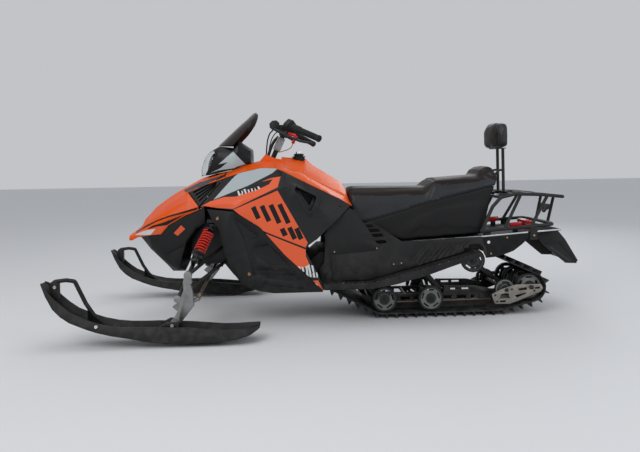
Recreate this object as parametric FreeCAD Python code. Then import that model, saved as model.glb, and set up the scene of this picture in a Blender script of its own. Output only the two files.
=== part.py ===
import FreeCAD, Part
import math
import os

os.makedirs("parts", exist_ok=True)
V = FreeCAD.Vector

# Driving sizes, mm. X forward, Y left, Z up, origin on the ground under the middle.
TRACK_HALF = 190.0
BELT = 7.0
LUG_HEIGHT = 21.0
LUG_THICK = 11.0
LUG_PITCH = 50.8
TUNNEL_HALF = 203.0
RAIL_Y = 95.0
SKI_Y = 480.0
SKI_HALF = 72.0
KING_Y = 452.0
SKIN = 4.0
BOARD_OUT = 335.0
TREAD_DROP = 8.0
GAP = 1.5
SEAM_HALF = 1.2
POST_X = -952.0
CAP_X = 155.0
SHAFT_R = 10.0
IDLER_SHAFT_R = 9.0
PIN_PLAY = 0.05

# Wheels and bends that carry the belt: centre x, centre z, radius at the belt's inner face.
DRIVE = (0.0, 235.0, 68.0)
UPPER = (-737.0, 283.0, 63.0)
REAR = (-1035.0, 140.0, 70.0)
REAR_BEND = (-840.0, 228.0, 200.0)
FRONT_BEND = (-262.0, 128.0, 100.0)
# Bogie wheels: centre x, z.
BOGIES = [(-272.0, 93.0), (-513.0, 93.0)]
BOGIE_R = 64.0
INNER_IDLER = (-905.0, 128.0, 50.0)

# Steering: a raked post, and raked kingpins.
POST_TOP = V(234, 0, 962)
POST_LOW = V(282, 0, 858)
KING_TOP = V(672, KING_Y, 301)
KING_LOW = V(720, KING_Y, 195)
SKI_BOLT = V(733, SKI_Y, 90)

# Long lines of the front body: x, half width, height.
TOP_LINE = [(1035, 0, 450), (971, 0, 501), (952, 0, 538), (896, 0, 597), (813, 0, 655),
            (738, 0, 695), (671, 0, 731), (600, 0, 752), (454, 0, 779), (350, 0, 822),
            (321, 0, 847), (277, 0, 840), (211, 0, 833), (122, 0, 828), (79, 0, 788),
            (13, 0, 748), (-59, 0, 702), (-91, 0, 665), (-113, 0, 600)]
CREASE_LINE = [(1030, 60, 446), (971, 85, 492), (952, 95, 525), (896, 105, 583), (813, 115, 642),
               (738, 120, 683), (671, 122, 716), (600, 122, 738), (529, 120, 760), (435, 118, 795),
               (356, 118, 812), (276, 118, 811), (211, 118, 786), (132, 118, 750),
               (103, 118, 728), (-55, 118, 652), (-91, 118, 630), (-113, 118, 585)]
SHOULDER_LINE = [(1025, 95, 440), (971, 130, 470), (900, 155, 535), (813, 175, 605),
                 (717, 190, 663), (620, 192, 703), (529, 192, 733), (444, 192, 760),
                 (352, 192, 780), (281, 195, 780), (239, 198, 762), (113, 205, 697),
                 (-49, 205, 616), (-113, 200, 577)]
MID_LINE = [(1022, 101, 432), (983, 140, 452), (900, 180, 498), (820, 200, 533),
            (740, 212, 566), (655, 228, 596), (560, 262, 606), (488, 283, 608),
            (267, 285, 672), (225, 282, 690), (113, 268, 610), (0, 255, 540), (-113, 245, 480)]
LOW_LINE = [(1020, 100, 418), (980, 138, 438), (921, 172, 450), (852, 188, 457),
            (816, 194, 500), (732, 204, 547), (655, 222, 578), (626, 240, 584),
            (485, 290, 572), (357, 300, 498), (231, 302, 352), (135, 300, 262),
            (49, 292, 176), (-113, 286, 165)]

# Side outlines, x and z.
PANEL_SIDE = [(651, 592), (626, 597), (485, 577), (357, 496), (231, 350), (49, 174), (47, 190),
              (80, 266), (133, 370), (119, 397), (75, 425), (-94, 577), (-60, 1000), (520, 1000),
              (531, 742), (561, 700)]
COWL_SIDE = [(622, 597), (586, 523), (554, 482), (528, 366), (496, 277), (437, 201), (356, 168),
             (200, 140), (49, 140), (47, 172), (231, 348), (357, 494), (485, 575), (626, 595)]
LOUVRE_SIDE = [(712, 664), (657, 594), (565, 702), (535, 742)]
SEAT_SIDE = [(-109, 690), (-109, 480), (-369, 396), (-797, 421), (-843, 617), (-868, 664),
             (-892, 711), (-890, 800), (-400, 900)]
SEAM = [(-60, 462), (-221, 507), (-501, 585), (-811, 662), (-868, 666), (-960, 666)]
COVER_SIDE = [(13, 475), (-94, 571), (-357, 396), (-772, 410), (-786, 311), (-773, 327), (-770, 359),
              (-751, 375), (-700, 373), (-676, 357), (-672, 339), (-460, 283), (-186, 214), (-5, 213),
              (6, 331), (38, 440)]
# Wheel arch in the side cover, and the lip round it.
ARCH_OUT = [(-700, 366), (-694, 357), (-672, 357), (-672, 368), (-696, 385), (-755, 387), (-784, 366),
            (-787, 330), (-786, 311), (-773, 327), (-770, 359), (-751, 375), (-700, 373)]
# Slanted air slots of the side cover: upper front corner x, z and length.
COVER_SLOTS = [(-151, 510, 35), (-172, 485, 36), (-184, 462, 54), (-201, 437, 52), (-219, 404, 50)]
# Raised foot bracket, and the seam of the small triangular lid, on the side cover.
FOOT_BRACKET = [(-300, 300), (-360, 299), (-364, 281), (-300, 277)]
LID_SEAM = [(-130, 554), (-271, 369), (-257, 348), (0, 341)]
TUNNEL_TOP = [(118, 195), (118, 300), (60, 350), (-200, 362), (-360, 392), (-780, 412),
              (-1012, 428)]
TUNNEL_LOW = [(-1018, 411), (-1009, 389), (-982, 365), (-938, 333), (-882, 313), (-835, 303), (-794, 300),
              (-778, 338), (-758, 352), (-716, 352), (-695, 322), (-457, 262), (-185, 195), (49, 190)]
# Line pressed into the rear of the tunnel's side, parallel to its edge.
TUNNEL_CREASE = [(-998, 386), (-945, 348), (-890, 327), (-840, 321)]
# Rear deck: its end x, z, its thickness, its half width and the edge flange's thickness.
DECK_END = (-1188, 440)
DECK_THICK = 3.0
DECK_HALF = 199.9
FLAP_HALF = 150.0
# Half width of any cutting prism that passes through the whole part.
THROUGH = 400.0
BOARD_TOP = [(47, 216), (-185, 218), (-457, 285), (-714, 352)]
BOARD_LOW = [(-723, 330), (-580, 285), (-456, 244), (-306, 205), (-184, 186), (47, 186)]
# Snow flap: the rear sheet with the inner body's curved lower edge, and the shorter wing at each side.
FLAP_BODY = [(-1090, 430), (-1188, 437), (-1232, 377), (-1296, 268), (-1299, 250), (-1238, 253),
             (-1174, 306), (-1125, 349), (-1090, 396)]
FLAP_WING = [(-1090, 430), (-1188, 437), (-1237, 377), (-1302, 266), (-1296, 258), (-1204, 362),
             (-1168, 352), (-1128, 350), (-1090, 396)]


def lerp_line(line, x):
    pts = sorted(line)
    if x <= pts[0][0]:
        return pts[0][1], pts[0][2]
    for a, b in zip(pts, pts[1:]):
        if x <= b[0]:
            t = (x - a[0]) / (b[0] - a[0])
            return a[1] + t * (b[1] - a[1]), a[2] + t * (b[2] - a[2])
    return pts[-1][1], pts[-1][2]


def polygon(points):
    return Part.makePolygon(list(points) + [points[0]])


def prism_y(side, low, high):
    face = Part.Face(polygon([V(x, low, z) for x, z in side]))
    return face.extrude(V(0, high - low, 0))


def prism_z(plan, low, high):
    face = Part.Face(polygon([V(x, y, low) for x, y in plan]))
    return face.extrude(V(0, 0, high - low))


def box(x0, x1, y0, y1, z0, z1):
    return Part.makeBox(x1 - x0, y1 - y0, z1 - z0, V(x0, y0, z0))


def cyl(a, b, r):
    return Part.makeCylinder(r, (b - a).Length, a, b - a)


def faces_of(a, b, c, d, flip=False):
    normal = (b - a).cross(c - a)
    if normal.Length > 1e-6 and abs(normal.normalize().dot(d - a)) < 1e-7:
        return [Part.Face(polygon([a, b, c, d]))]
    out = []
    halves = ((b, c, d), (b, d, a)) if flip else ((a, b, c), (a, c, d))
    for tri in halves:
        if (tri[1] - tri[0]).cross(tri[2] - tri[0]).Length > 1e-3:
            out.append(Part.Face(polygon(list(tri))))
    return out


def facet_loft(rings, flip_from=999):
    faces = [Part.Face(polygon(rings[0])), Part.Face(polygon(rings[-1]))]
    count = len(rings[0])
    for near, far in zip(rings, rings[1:]):
        for i in range(count):
            j = (i + 1) % count
            faces += faces_of(near[i], near[j], far[j], far[i], i >= flip_from)
    sewn = Part.makeCompound(faces)
    sewn.sewShape()
    solid = Part.makeSolid(sewn.Shells[0])
    if solid.Volume < 0:
        solid.reverse()
    return solid


def inset(poly, t):
    out = []
    last = len(poly) - 1
    for i, p in enumerate(poly):
        normals = []
        for k in (i - 1, i):
            if 0 <= k < last:
                dy = poly[k + 1][0] - poly[k][0]
                dz = poly[k + 1][1] - poly[k][1]
                size = math.hypot(dy, dz)
                normals.append((dz / size, -dy / size))
        ny = sum(n[0] for n in normals) / len(normals)
        nz = sum(n[1] for n in normals) / len(normals)
        grow = t / (ny * ny + nz * nz)
        out.append((p[0] + ny * grow, p[1] + nz * grow))
    return out


def skin(lines, x_low, x_high, t, whole=False, span=None):
    stations = sorted({x for line in lines for x, y, z in line if x_low + 4 < x < x_high - 4}
                      | {x_low, x_high})
    kept = [stations[0]]
    for x in stations[1:]:
        if x - kept[-1] > 7 or x == stations[-1]:
            kept.append(x)
    rings = []
    for x in kept:
        half = [lerp_line(line, x) for line in lines]
        outer = half
        if whole:
            outer = [(-y, z) for y, z in reversed(half) if y > 0.1] + half
        inner = inset(outer, t)
        if span:
            outer, inner = cut_span(outer, inner, len(outer) - len(half), span)
        rings.append([V(x, y, z) for y, z in outer + inner[::-1]])
    return facet_loft(rings, len(rings[0]) // 2)


def cut_span(outer, inner, middle, span):
    first, last = span
    low = middle - last if first == 0 else middle + first
    high = middle + last
    out = []
    for poly in (outer, inner):
        piece = poly[low:high + 1]
        for end, beside, at_edge in ((0, 1, low == 0), (-1, -2, high == len(poly) - 1)):
            if not at_edge:
                a = piece[end]
                b = piece[beside]
                size = math.hypot(b[0] - a[0], b[1] - a[1])
                piece[end] = (a[0] + (b[0] - a[0]) * SEAM_HALF / size, a[1] + (b[1] - a[1]) * SEAM_HALF / size)
        out.append(piece)
    return out


def rod(points, r, bend=18.0):
    edges = []
    pts = [V(*p) for p in points]
    start = pts[0]
    for a, b, c in zip(pts, pts[1:], pts[2:]):
        u = (a - b).normalize()
        w = (c - b).normalize()
        angle = u.getAngle(w)
        cut = min(bend / math.tan(angle / 2), (a - b).Length * 0.45, (c - b).Length * 0.45)
        p0 = b + u * cut
        p1 = b + w * cut
        rad = cut * math.tan(angle / 2)
        mid_dir = (u + w).normalize()
        centre = b + mid_dir * (rad / math.sin(angle / 2))
        pm = centre - mid_dir * rad
        edges.append(Part.makeLine(start, p0))
        edges.append(Part.Arc(p0, pm, p1).toShape())
        start = p1
    edges.append(Part.makeLine(start, pts[-1]))
    path = Part.Wire(edges)
    first = (pts[1] - pts[0]).normalize()
    ring = Part.Wire(Part.makeCircle(r, pts[0], first))
    return path.makePipeShell([ring], True, False, 2)


def beam(a, b, wide, high):
    a = V(*a)
    b = V(*b)
    along = (b - a).normalize()
    side = along.cross(V(0, 0, 1))
    if side.Length < 1e-3:
        side = V(0, 1, 0)
    side = side.normalize() * (wide / 2)
    up = side.cross(along).normalize() * (high / 2)
    face = Part.Face(polygon([a + side + up, a - side + up, a - side - up, a + side - up]))
    return face.extrude(b - a)


def mirrored(shape):
    return shape.mirror(V(0, 0, 0), V(0, 1, 0))


def both(shapes):
    return shapes + [mirrored(s) for s in shapes]


def fuse(shapes):
    if len(shapes) == 1:
        return shapes[0]
    return shapes[0].multiFuse(shapes[1:]).removeSplitter()


def save(node, shapes):
    solids = []
    for s in shapes:
        solids += s.Solids
    shape = solids[0] if len(solids) == 1 else Part.makeCompound(solids)
    assert shape.isValid(), node
    assert all(s.Volume > 0 for s in solids), node
    shape.exportStep("parts/" + node + ".step")
    print(node, len(solids), round(shape.Volume / 1e3), "cm3")


# Track: one closed belt, its lugs in the outline.
def tangent(c0, c1):
    dx = c1[0] - c0[0]
    dz = c1[1] - c0[1]
    dist = math.hypot(dx, dz)
    base = math.atan2(dz, dx)
    turn = math.asin((c0[2] - c1[2]) / dist)
    n = base - math.pi / 2 + turn
    a = (c0[0] + c0[2] * math.cos(n), c0[1] + c0[2] * math.sin(n))
    b = (c1[0] + c1[2] * math.cos(n), c1[1] + c1[2] * math.sin(n))
    return a, b, n


def loop_points(grow, step):
    ring = [DRIVE, UPPER, REAR, REAR_BEND, FRONT_BEND]
    ring = [(x, z, r + grow) for x, z, r in ring]
    legs = [tangent(ring[i], ring[(i + 1) % len(ring)]) for i in range(len(ring))]
    out = []
    for i, circle in enumerate(ring):
        a0 = legs[i - 1][2]
        a1 = legs[i][2]
        while a1 < a0:
            a1 += 2 * math.pi
        count = max(2, int(round((a1 - a0) / math.radians(step))))
        for k in range(count + 1):
            a = a0 + (a1 - a0) * k / count
            out.append((circle[0] + circle[2] * math.cos(a), circle[1] + circle[2] * math.sin(a)))
    return out


def walk(points, count):
    closed = points + [points[0]]
    runs = [math.hypot(b[0] - a[0], b[1] - a[1]) for a, b in zip(closed, closed[1:])]
    total = sum(runs)
    out = []
    for k in range(count):
        want = total * k / count
        i = 0
        while want > runs[i]:
            want -= runs[i]
            i += 1
        a = closed[i]
        b = closed[i + 1]
        t = want / runs[i]
        dx = (b[0] - a[0]) / runs[i]
        dz = (b[1] - a[1]) / runs[i]
        out.append((a[0] + t * (b[0] - a[0]), a[1] + t * (b[1] - a[1]), dx, dz))
    return out, total


belt_out = loop_points(BELT, 15)
belt_in = loop_points(0.0, 15)
lug_seat, loop_length = walk(belt_out, 2)
LUG_COUNT = int(round(loop_length / LUG_PITCH))
lug_seat, loop_length = walk(belt_out, LUG_COUNT)
belt = prism_y(belt_out, -TRACK_HALF, TRACK_HALF).cut(prism_y(belt_in, -TRACK_HALF - 1, TRACK_HALF + 1))
lugs = []
for x, z, dx, dz in lug_seat:
    nx, nz = dz, -dx
    foot = LUG_THICK / 2
    tip = LUG_THICK / 2 - 2.5
    side = [(x - dx * foot - nx * 2, z - dz * foot - nz * 2),
            (x + dx * foot - nx * 2, z + dz * foot - nz * 2),
            (x + dx * tip + nx * LUG_HEIGHT, z + dz * tip + nz * LUG_HEIGHT),
            (x - dx * tip + nx * LUG_HEIGHT, z - dz * tip + nz * LUG_HEIGHT)]
    lugs.append(prism_y(side, -TRACK_HALF, TRACK_HALF))
track = belt.multiFuse(lugs)
save("track", [track])
print("track loop", round(loop_length), "lugs", LUG_COUNT, "low", round(track.BoundBox.ZMin, 2))


# Wheels inside the track, on their shafts.
WINDOWS = 5
HUB_IN = 6.0
HUB_OUT = 9.0
RIM_EDGE = 2.0
BELT_PLAY = 1.2


def wheel(x, z, r, y_mid, wide, bore):
    half = wide / 2
    # Half section: distance from the axle, distance from the wheel's middle plane.
    profile = [(bore, -HUB_IN), (r * 0.42, -HUB_IN), (r * 0.46, -half * 0.5), (r * 0.82, -half * 0.5),
               (r * 0.84, -half), (r - RIM_EDGE, -half), (r, -half + RIM_EDGE), (r, half - RIM_EDGE),
               (r - RIM_EDGE, half), (r * 0.84, half), (r * 0.82, half * 0.5), (r * 0.46, half * 0.5),
               (r * 0.42, HUB_OUT), (bore, HUB_OUT)]
    pts = [V(x + a, y_mid + b, z) for a, b in profile]
    body = Part.Face(polygon(pts)).revolve(V(x, 0, z), V(0, 1, 0), 360)
    body = Part.makeSolid(body) if body.ShapeType != "Solid" else body
    cuts = []
    for k in range(WINDOWS):
        slot = box(-r * 0.26, r * 0.26, y_mid - wide, y_mid + wide, r * 0.60, r * 0.73)
        slot.rotate(V(0, 0, 0), V(0, 1, 0), 360.0 / WINDOWS * k)
        slot.translate(V(x, 0, z))
        cuts.append(slot)
    return body.cut(Part.makeCompound(cuts))


# Axles: centre x, z, wheel radius, the wheels' y, wheel width, shaft radius, half length of the shaft.
AXLES = [(x, z, BOGIE_R, [160], 24, SHAFT_R, 170) for x, z in BOGIES]
AXLES += [(UPPER[0], UPPER[1], UPPER[2] - BELT_PLAY, [160], 24, SHAFT_R, 180),
          (REAR[0], REAR[1], REAR[2] - BELT_PLAY, [150, 45], 26, SHAFT_R, 196),
          (INNER_IDLER[0], INNER_IDLER[1], INNER_IDLER[2], [150], 22, IDLER_SHAFT_R, 192)]
wheels = []
for x, z, r, places, wide, shaft_r, shaft_half in AXLES:
    pairs = both([wheel(x, z, r, y, wide, shaft_r) for y in places])
    wheels.append(fuse(pairs + [cyl(V(x, -shaft_half, z), V(x, shaft_half, z), shaft_r)]))
save("track_wheels", wheels)

# Slide rails: a plate with slots and a ledge, a sliding shoe below it, round ties between the two.
RAIL_HALF = 5.0
LEDGE_HALF = 9.0
rail_side = [(-820, 36), (-262, 32), (-215, 40), (-165, 84), (-160, 104), (-195, 100), (-240, 92),
             (-300, 103), (-596, 103), (-602, 139), (-779, 135), (-850, 118), (-960, 118), (-960, 100),
             (-870, 70)]
rail = prism_y(rail_side, RAIL_Y - RAIL_HALF, RAIL_Y + RAIL_HALF)
# Slots: rear end x, length, low and high z.
rail_slots = [(x, 50, 69, 89) for x in range(-792, -330, 75)] + [(-738, 44, 118, 128), (-678, 44, 118, 128)]
for x, long, low, high in rail_slots:
    rail = rail.cut(box(x, x + long, RAIL_Y - LEDGE_HALF, RAIL_Y + LEDGE_HALF, low, high))
ledge = prism_y([(-235, 60), (-235, 65), (-850, 68), (-850, 63)], RAIL_Y - LEDGE_HALF, RAIL_Y + LEDGE_HALF)
rail = fuse([rail, ledge])
shoe = prism_y([(-820, 30), (-262, 30), (-262, 36), (-820, 40)], RAIL_Y - 11, RAIL_Y + 11)
rail = fuse([rail, shoe])
for x, z in BOGIES:
    rail = rail.cut(cyl(V(x, RAIL_Y - 20, z), V(x, RAIL_Y + 20, z), SHAFT_R + PIN_PLAY))
ties = [cyl(V(x, -RAIL_Y, 92), V(x, RAIL_Y, 92), 8) for x in (-200, -400, -655, -800)]
save("slide_rails", [fuse(both([rail]) + ties)])

# Axle brackets outside the rails: a plate with five windows, and the bores of the two rear shafts.
BRACKET_IN = 181.0
BRACKET_OUT = 187.0
plate_side = [(-826, 108), (-832, 82), (-843, 58), (-917, 57), (-956, 69), (-1084, 116), (-1097, 134),
              (-1085, 155), (-953, 155), (-925, 148), (-880, 134), (-848, 120)]
plate = prism_y(plate_side, BRACKET_IN, BRACKET_OUT)
for hole in ([(-870, 86), (-872, 105), (-890, 111), (-914, 112), (-920, 86)],
             [(-946, 100), (-1007, 113), (-1007, 107), (-957, 88)],
             [(-966, 125), (-966, 134), (-1010, 141), (-1010, 126)],
             [(-1053, 130), (-1053, 139), (-1080, 141), (-1080, 131)],
             [(-867, 66), (-868, 74), (-898, 76), (-898, 66)]):
    plate = plate.cut(prism_y(hole, 0, THROUGH))
plate = fuse([plate, cyl(V(-850, RAIL_Y + RAIL_HALF, 88), V(-850, BRACKET_IN, 88), 7)])
for (x, z, wheel_r), shaft_r in ((REAR, SHAFT_R), (INNER_IDLER, IDLER_SHAFT_R)):
    plate = plate.cut(cyl(V(x, BRACKET_IN - 5, z), V(x, BRACKET_OUT + 5, z), shaft_r + PIN_PLAY))
save("axle_brackets", both([plate]))

# Arms of the rear suspension: foot x, z on the rails, head x, z on the tunnel.
ARMS = [(-235, 96, -95, 272), (-600, 98, -430, 298)]
ARM_Y = 60.0
ARM_TUBE_R = 12.0
foot_half = RAIL_Y - RAIL_HALF - 0.2
suspension = []
for foot_x, foot_z, head_x, head_z in ARMS:
    arm = both([beam((foot_x, ARM_Y, foot_z), (head_x, ARM_Y, head_z), 22, 26)])
    foot_tube = cyl(V(foot_x, -foot_half, foot_z), V(foot_x, foot_half, foot_z), ARM_TUBE_R)
    head_tube = cyl(V(head_x, -TUNNEL_HALF, head_z), V(head_x, TUNNEL_HALF, head_z), ARM_TUBE_R)
    suspension.append(fuse(arm + [foot_tube, head_tube]))
x, z, r = UPPER
link = fuse(both([beam((x, ARM_Y, z), (-905, ARM_Y, 152), 20, 22)]) + [cyl(V(x, -64, z), V(x, 64, z), 16)])
link = link.cut(cyl(V(x, -70, z), V(x, 70, z), SHAFT_R + PIN_PLAY))
shock_foot = V(-300, 0, 116)
shock_head = V(-405, 0, 270)
shock_axis = (shock_head - shock_foot).normalize()
shock = fuse([cyl(shock_foot, shock_head, 11),
              cyl(shock_foot + shock_axis * 6, shock_foot + shock_axis * 120, 22),
              cyl(shock_head - V(0, 14, 0), shock_head + V(0, 14, 0), 14)])
save("rear_suspension", suspension + [link, shock])

# Drive axle with its toothed sprockets inside the belt.
TEETH = 9
SPROCKET_HALF = 9.0
DRIVE_SHAFT_R = 14.0
x, z, r = DRIVE
sprockets = []
for y in (-120, -45, 45, 120):
    teeth = []
    for k in range(TEETH):
        t = box(-5, 5, y - SPROCKET_HALF, y + SPROCKET_HALF, 50, r - 1)
        t.rotate(V(0, 0, 0), V(0, 1, 0), 360.0 / TEETH * k)
        t.translate(V(x, 0, z))
        teeth.append(t)
    sprockets.append(fuse([cyl(V(x, y - SPROCKET_HALF, z), V(x, y + SPROCKET_HALF, z), r - 10)] + teeth))
save("drive_axle", [fuse(sprockets + [cyl(V(x, -212, z), V(x, 212, z), DRIVE_SHAFT_R)])])

# Drive housings bolted on the tunnel's sides, each with a round boss.
case_side = [(58, 178), (62, 270), (40, 300), (30, 420), (-28, 420), (-34, 300), (-52, 262), (-48, 186)]
case = prism_y(case_side, TUNNEL_HALF, 222)
case = fuse([case, cyl(V(-2, 222, 227), V(-2, 240, 227), 34)])
case = case.cut(cyl(V(DRIVE[0], 200, DRIVE[1]), V(DRIVE[0], 215, DRIVE[1]), DRIVE_SHAFT_R + PIN_PLAY))
save("chain_case", both([case]))

# Tunnel over the track, open below, with the flat rear deck and its turned-down edges.
tunnel_out = TUNNEL_TOP + TUNNEL_LOW
tunnel_in = [(114, 150), (114, 298), (58, 346), (-200, 358), (-360, 388), (-780, 408), (-1100, 430),
             (-1100, 150)]
tunnel = prism_y(tunnel_out, -TUNNEL_HALF, TUNNEL_HALF).cut(
    prism_y(tunnel_in, -TUNNEL_HALF + 3, TUNNEL_HALF - 3))
# Holes through both sides: x, z, radius.
tunnel_holes = [(DRIVE[0], DRIVE[1], 30.0), (-809, 380, 8.0)]
tunnel_holes += [(head_x, head_z, ARM_TUBE_R + PIN_PLAY) for foot_x, foot_z, head_x, head_z in ARMS]
for hx, hz, hr in tunnel_holes:
    tunnel = tunnel.cut(cyl(V(hx, -THROUGH, hz), V(hx, THROUGH, hz), hr))
for (xa, za), (xb, zb) in zip(TUNNEL_CREASE, TUNNEL_CREASE[1:]):
    for crease_y in (TUNNEL_HALF, -TUNNEL_HALF):
        tunnel = tunnel.cut(beam((xa, crease_y, za), (xb, crease_y, zb), 2.4, 4))
deck_x, deck_z = DECK_END
deck_side = [(-1005, 427.5), (-1005, 424.5), (deck_x, deck_z - DECK_THICK), (deck_x, deck_z)]
deck = prism_y(deck_side, -DECK_HALF, DECK_HALF)
flange_in = DECK_HALF - DECK_THICK
deck_flange = prism_y([(-1008, 426), (-1018, 388), (-1068, 388), (-1074, 430)], flange_in, DECK_HALF)
deck_edge = prism_y([(-1074, 430), (-1074, 424), (deck_x, 431), (deck_x, deck_z - 1)], flange_in, DECK_HALF)
tunnel = fuse([tunnel, deck] + both([deck_flange, deck_edge]))
save("tunnel", [tunnel])

# Running boards: a rim round a perforated tread, with teeth cut along the rim's top.
RIM_WIDE = 9.0
TOOTH_STEP = 23.0
SLOT_STEP = 48.0
board = prism_y(BOARD_TOP + BOARD_LOW, TUNNEL_HALF, BOARD_OUT)
above_tread = [(x, z - TREAD_DROP) for x, z in BOARD_TOP] + [(-730, 356), (-730, 460), (60, 460)]
under_tread = [(x, z - TREAD_DROP - 4) for x, z in BOARD_TOP] + [(-760, 200), (60, 120)]
board = board.cut(prism_y([(60, 208)] + above_tread, TUNNEL_HALF - 1, BOARD_OUT - RIM_WIDE))
board = board.cut(prism_y(under_tread, TUNNEL_HALF + 4, BOARD_OUT - RIM_WIDE))
board = board.cut(box(-62, 70, TUNNEL_HALF - 1, 246, 150, 300))
rim_teeth = []
for (xa, za), (xb, zb) in zip(BOARD_TOP, BOARD_TOP[1:]):
    count = int((xa - xb) / TOOTH_STEP)
    for k in range(count):
        t = (k + 0.5) / count
        xt = xa + (xb - xa) * t
        zt = za + (zb - za) * t
        rim_teeth.append(box(xt - 5, xt + 5, BOARD_OUT - RIM_WIDE - 1, BOARD_OUT + 1, zt - 4, zt + 8))
board = board.cut(Part.makeCompound(rim_teeth))
for k in range(15):
    x0 = 20 - k * SLOT_STEP
    board = board.cut(box(x0 - 30, x0, 264, 286, 100, 500)).cut(box(x0 - 30, x0, 296, 318, 100, 500))
save("running_boards", both([board]))

# Side covers under the seat: one skin on three long lines, each point x, half width, height.
COVER_GROOVE = 1.6
COVER_PROUD = 3.5
RIB_COUNT = 11
cover_lines = [[(120, 262, 600), (13, 236, 560), (-94, 215, 600), (-800, 190, 600)],
               [(120, 262, 440), (13, 240, 430), (-94, 220, 420), (-800, 212, 412)],
               [(120, 262, 150), (13, 262, 150), (-94, 262, 150), (-800, 240, 300)]]
cover = skin(cover_lines, -790, 60, SKIN)
cover = cover.common(prism_y(COVER_SIDE, 100, THROUGH))
for sx, sz, wide in COVER_SLOTS:
    slot = [(sx, sz), (sx - wide, sz + 2), (sx - wide - 12, sz - 13), (sx - 14, sz - 17)]
    cover = cover.cut(prism_y(slot, 100, THROUGH))
shallow = skin(cover_lines, -790, 60, COVER_GROOVE)
grooves = [beam((xa, 240, za), (xb, 240, zb), 300, 3) for (xa, za), (xb, zb) in zip(LID_SEAM, LID_SEAM[1:])]
for k in range(RIB_COUNT):
    grooves.append(beam((-388 - 28 * k, 240, 292 + 7.0 * k), (-478 - 22 * k, 240, 388), 300, 4))
cover = cover.cut(shallow.common(Part.makeCompound(grooves)))
proud = [[(x, y + COVER_PROUD, z) for x, y, z in line] for line in cover_lines]
raised = skin(proud, -790, 60, COVER_PROUD + 2)
arch_lip = raised.common(prism_y(ARCH_OUT, 100, THROUGH))
bracket = raised.common(prism_y(FOOT_BRACKET, 100, THROUGH))
cover = fuse([cover, arch_lip, bracket])
save("side_cover_left", [cover])
save("side_cover_right", [mirrored(cover)])

# Seat: one block on long lines (x, half width, height), cut along the seam into cushion and base.
seat_lines = [[(-109, 0, 668), (-504, 0, 662), (-564, 0, 706), (-790, 0, 718), (-806, 0, 748),
               (-835, 0, 766), (-866, 0, 766), (-888, 0, 745)],
              [(-109, 95, 662), (-504, 95, 658), (-564, 95, 702), (-790, 95, 714), (-806, 95, 744),
               (-835, 90, 762), (-866, 90, 762), (-888, 90, 740)],
              [(-109, 140, 636), (-497, 140, 642), (-552, 140, 690), (-790, 140, 702),
               (-812, 138, 730), (-850, 132, 745), (-888, 122, 722)],
              [(-109, 158, 590), (-497, 158, 596), (-552, 158, 644), (-790, 158, 660),
               (-850, 150, 690), (-888, 140, 690)],
              [(-109, 166, 500), (-888, 166, 560)],
              [(-109, 172, 395), (-888, 172, 395)],
              [(-109, 0, 395), (-888, 0, 395)]]


def solid_loft(lines, x_low, x_high):
    stations = sorted({x for line in lines for x, y, z in line if x_low < x < x_high} | {x_low, x_high})
    rings = []
    for x in stations:
        half = [lerp_line(line, x) for line in lines]
        ring = half + [(-y, z) for y, z in reversed(half) if y > 0.1]
        rings.append([V(x, y, z) for y, z in ring])
    return facet_loft(rings)


seat = solid_loft(seat_lines, -892, -109)
seat = seat.common(prism_y(SEAT_SIDE, -200, 200))
above = prism_y(SEAM + [(-960, 900), (-60, 900)], -200, 200)
below = prism_y([(x, z - GAP) for x, z in SEAM] + [(-960, 300), (-60, 300)], -200, 200)
save("seat_cushion", [seat.common(above)])
save("seat_base", [seat.common(below)])

# Backrest pad: y, front x, rear x, low z, high z, each corner cut off.
PAD_CORNER = 18.0
pad_rings = []
for y, xf, xr, zl, zh in ((-125, -914, -945, 890, 970), (-100, -897, -955, 873, 994),
                          (-50, -889, -960, 868, 1002), (50, -889, -960, 868, 1002),
                          (100, -897, -955, 873, 994), (125, -914, -945, 890, 970)):
    q = PAD_CORNER
    pad_rings.append([V(xf, y, zl + q), V(xf, y, zh - 2 * q), V(xf - q, y, zh), V(xr + q / 3, y, zh),
                      V(xr, y, zh - q), V(xr, y, zl + q / 3), V(xr + q / 3, y, zl), V(xf - q / 2, y, zl)])
save("backrest_pad", [facet_loft(pad_rings)])

# Two posts between the plate under the pad and the plate on the rack, with their short stays.
posts = both([cyl(V(POST_X, 40, 634), V(POST_X, 40, 864), 8)])
posts.append(box(POST_X - 10, POST_X + 40, -60, 60, 862, 867))
posts.append(box(POST_X - 26, POST_X + 14, -82, 82, 628.2, 634))
posts += both([rod([(POST_X, 40, 748), (-925, 40, 745), (-903, 40, 715)], 6)])
save("backrest_posts", [fuse(posts)])

# Rear rack: bent side tubes with their uprights, cross tubes, and the lower bumper tube.
RACK_R = 9.0
CROSS_R = 8.0
side_tube = rod([(-775, 195, 436), (-834, 195, 560), (-880, 193, 608), (-956, 190, 624), (-1100, 184, 618),
                 (-1213, 178, 605)], RACK_R, 40)
uprights = [rod([(-984, 190, 618), (-896, 196, 448)], CROSS_R),
            rod([(-1128, 184, 612), (-1034, 197, 455)], CROSS_R)]
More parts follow.
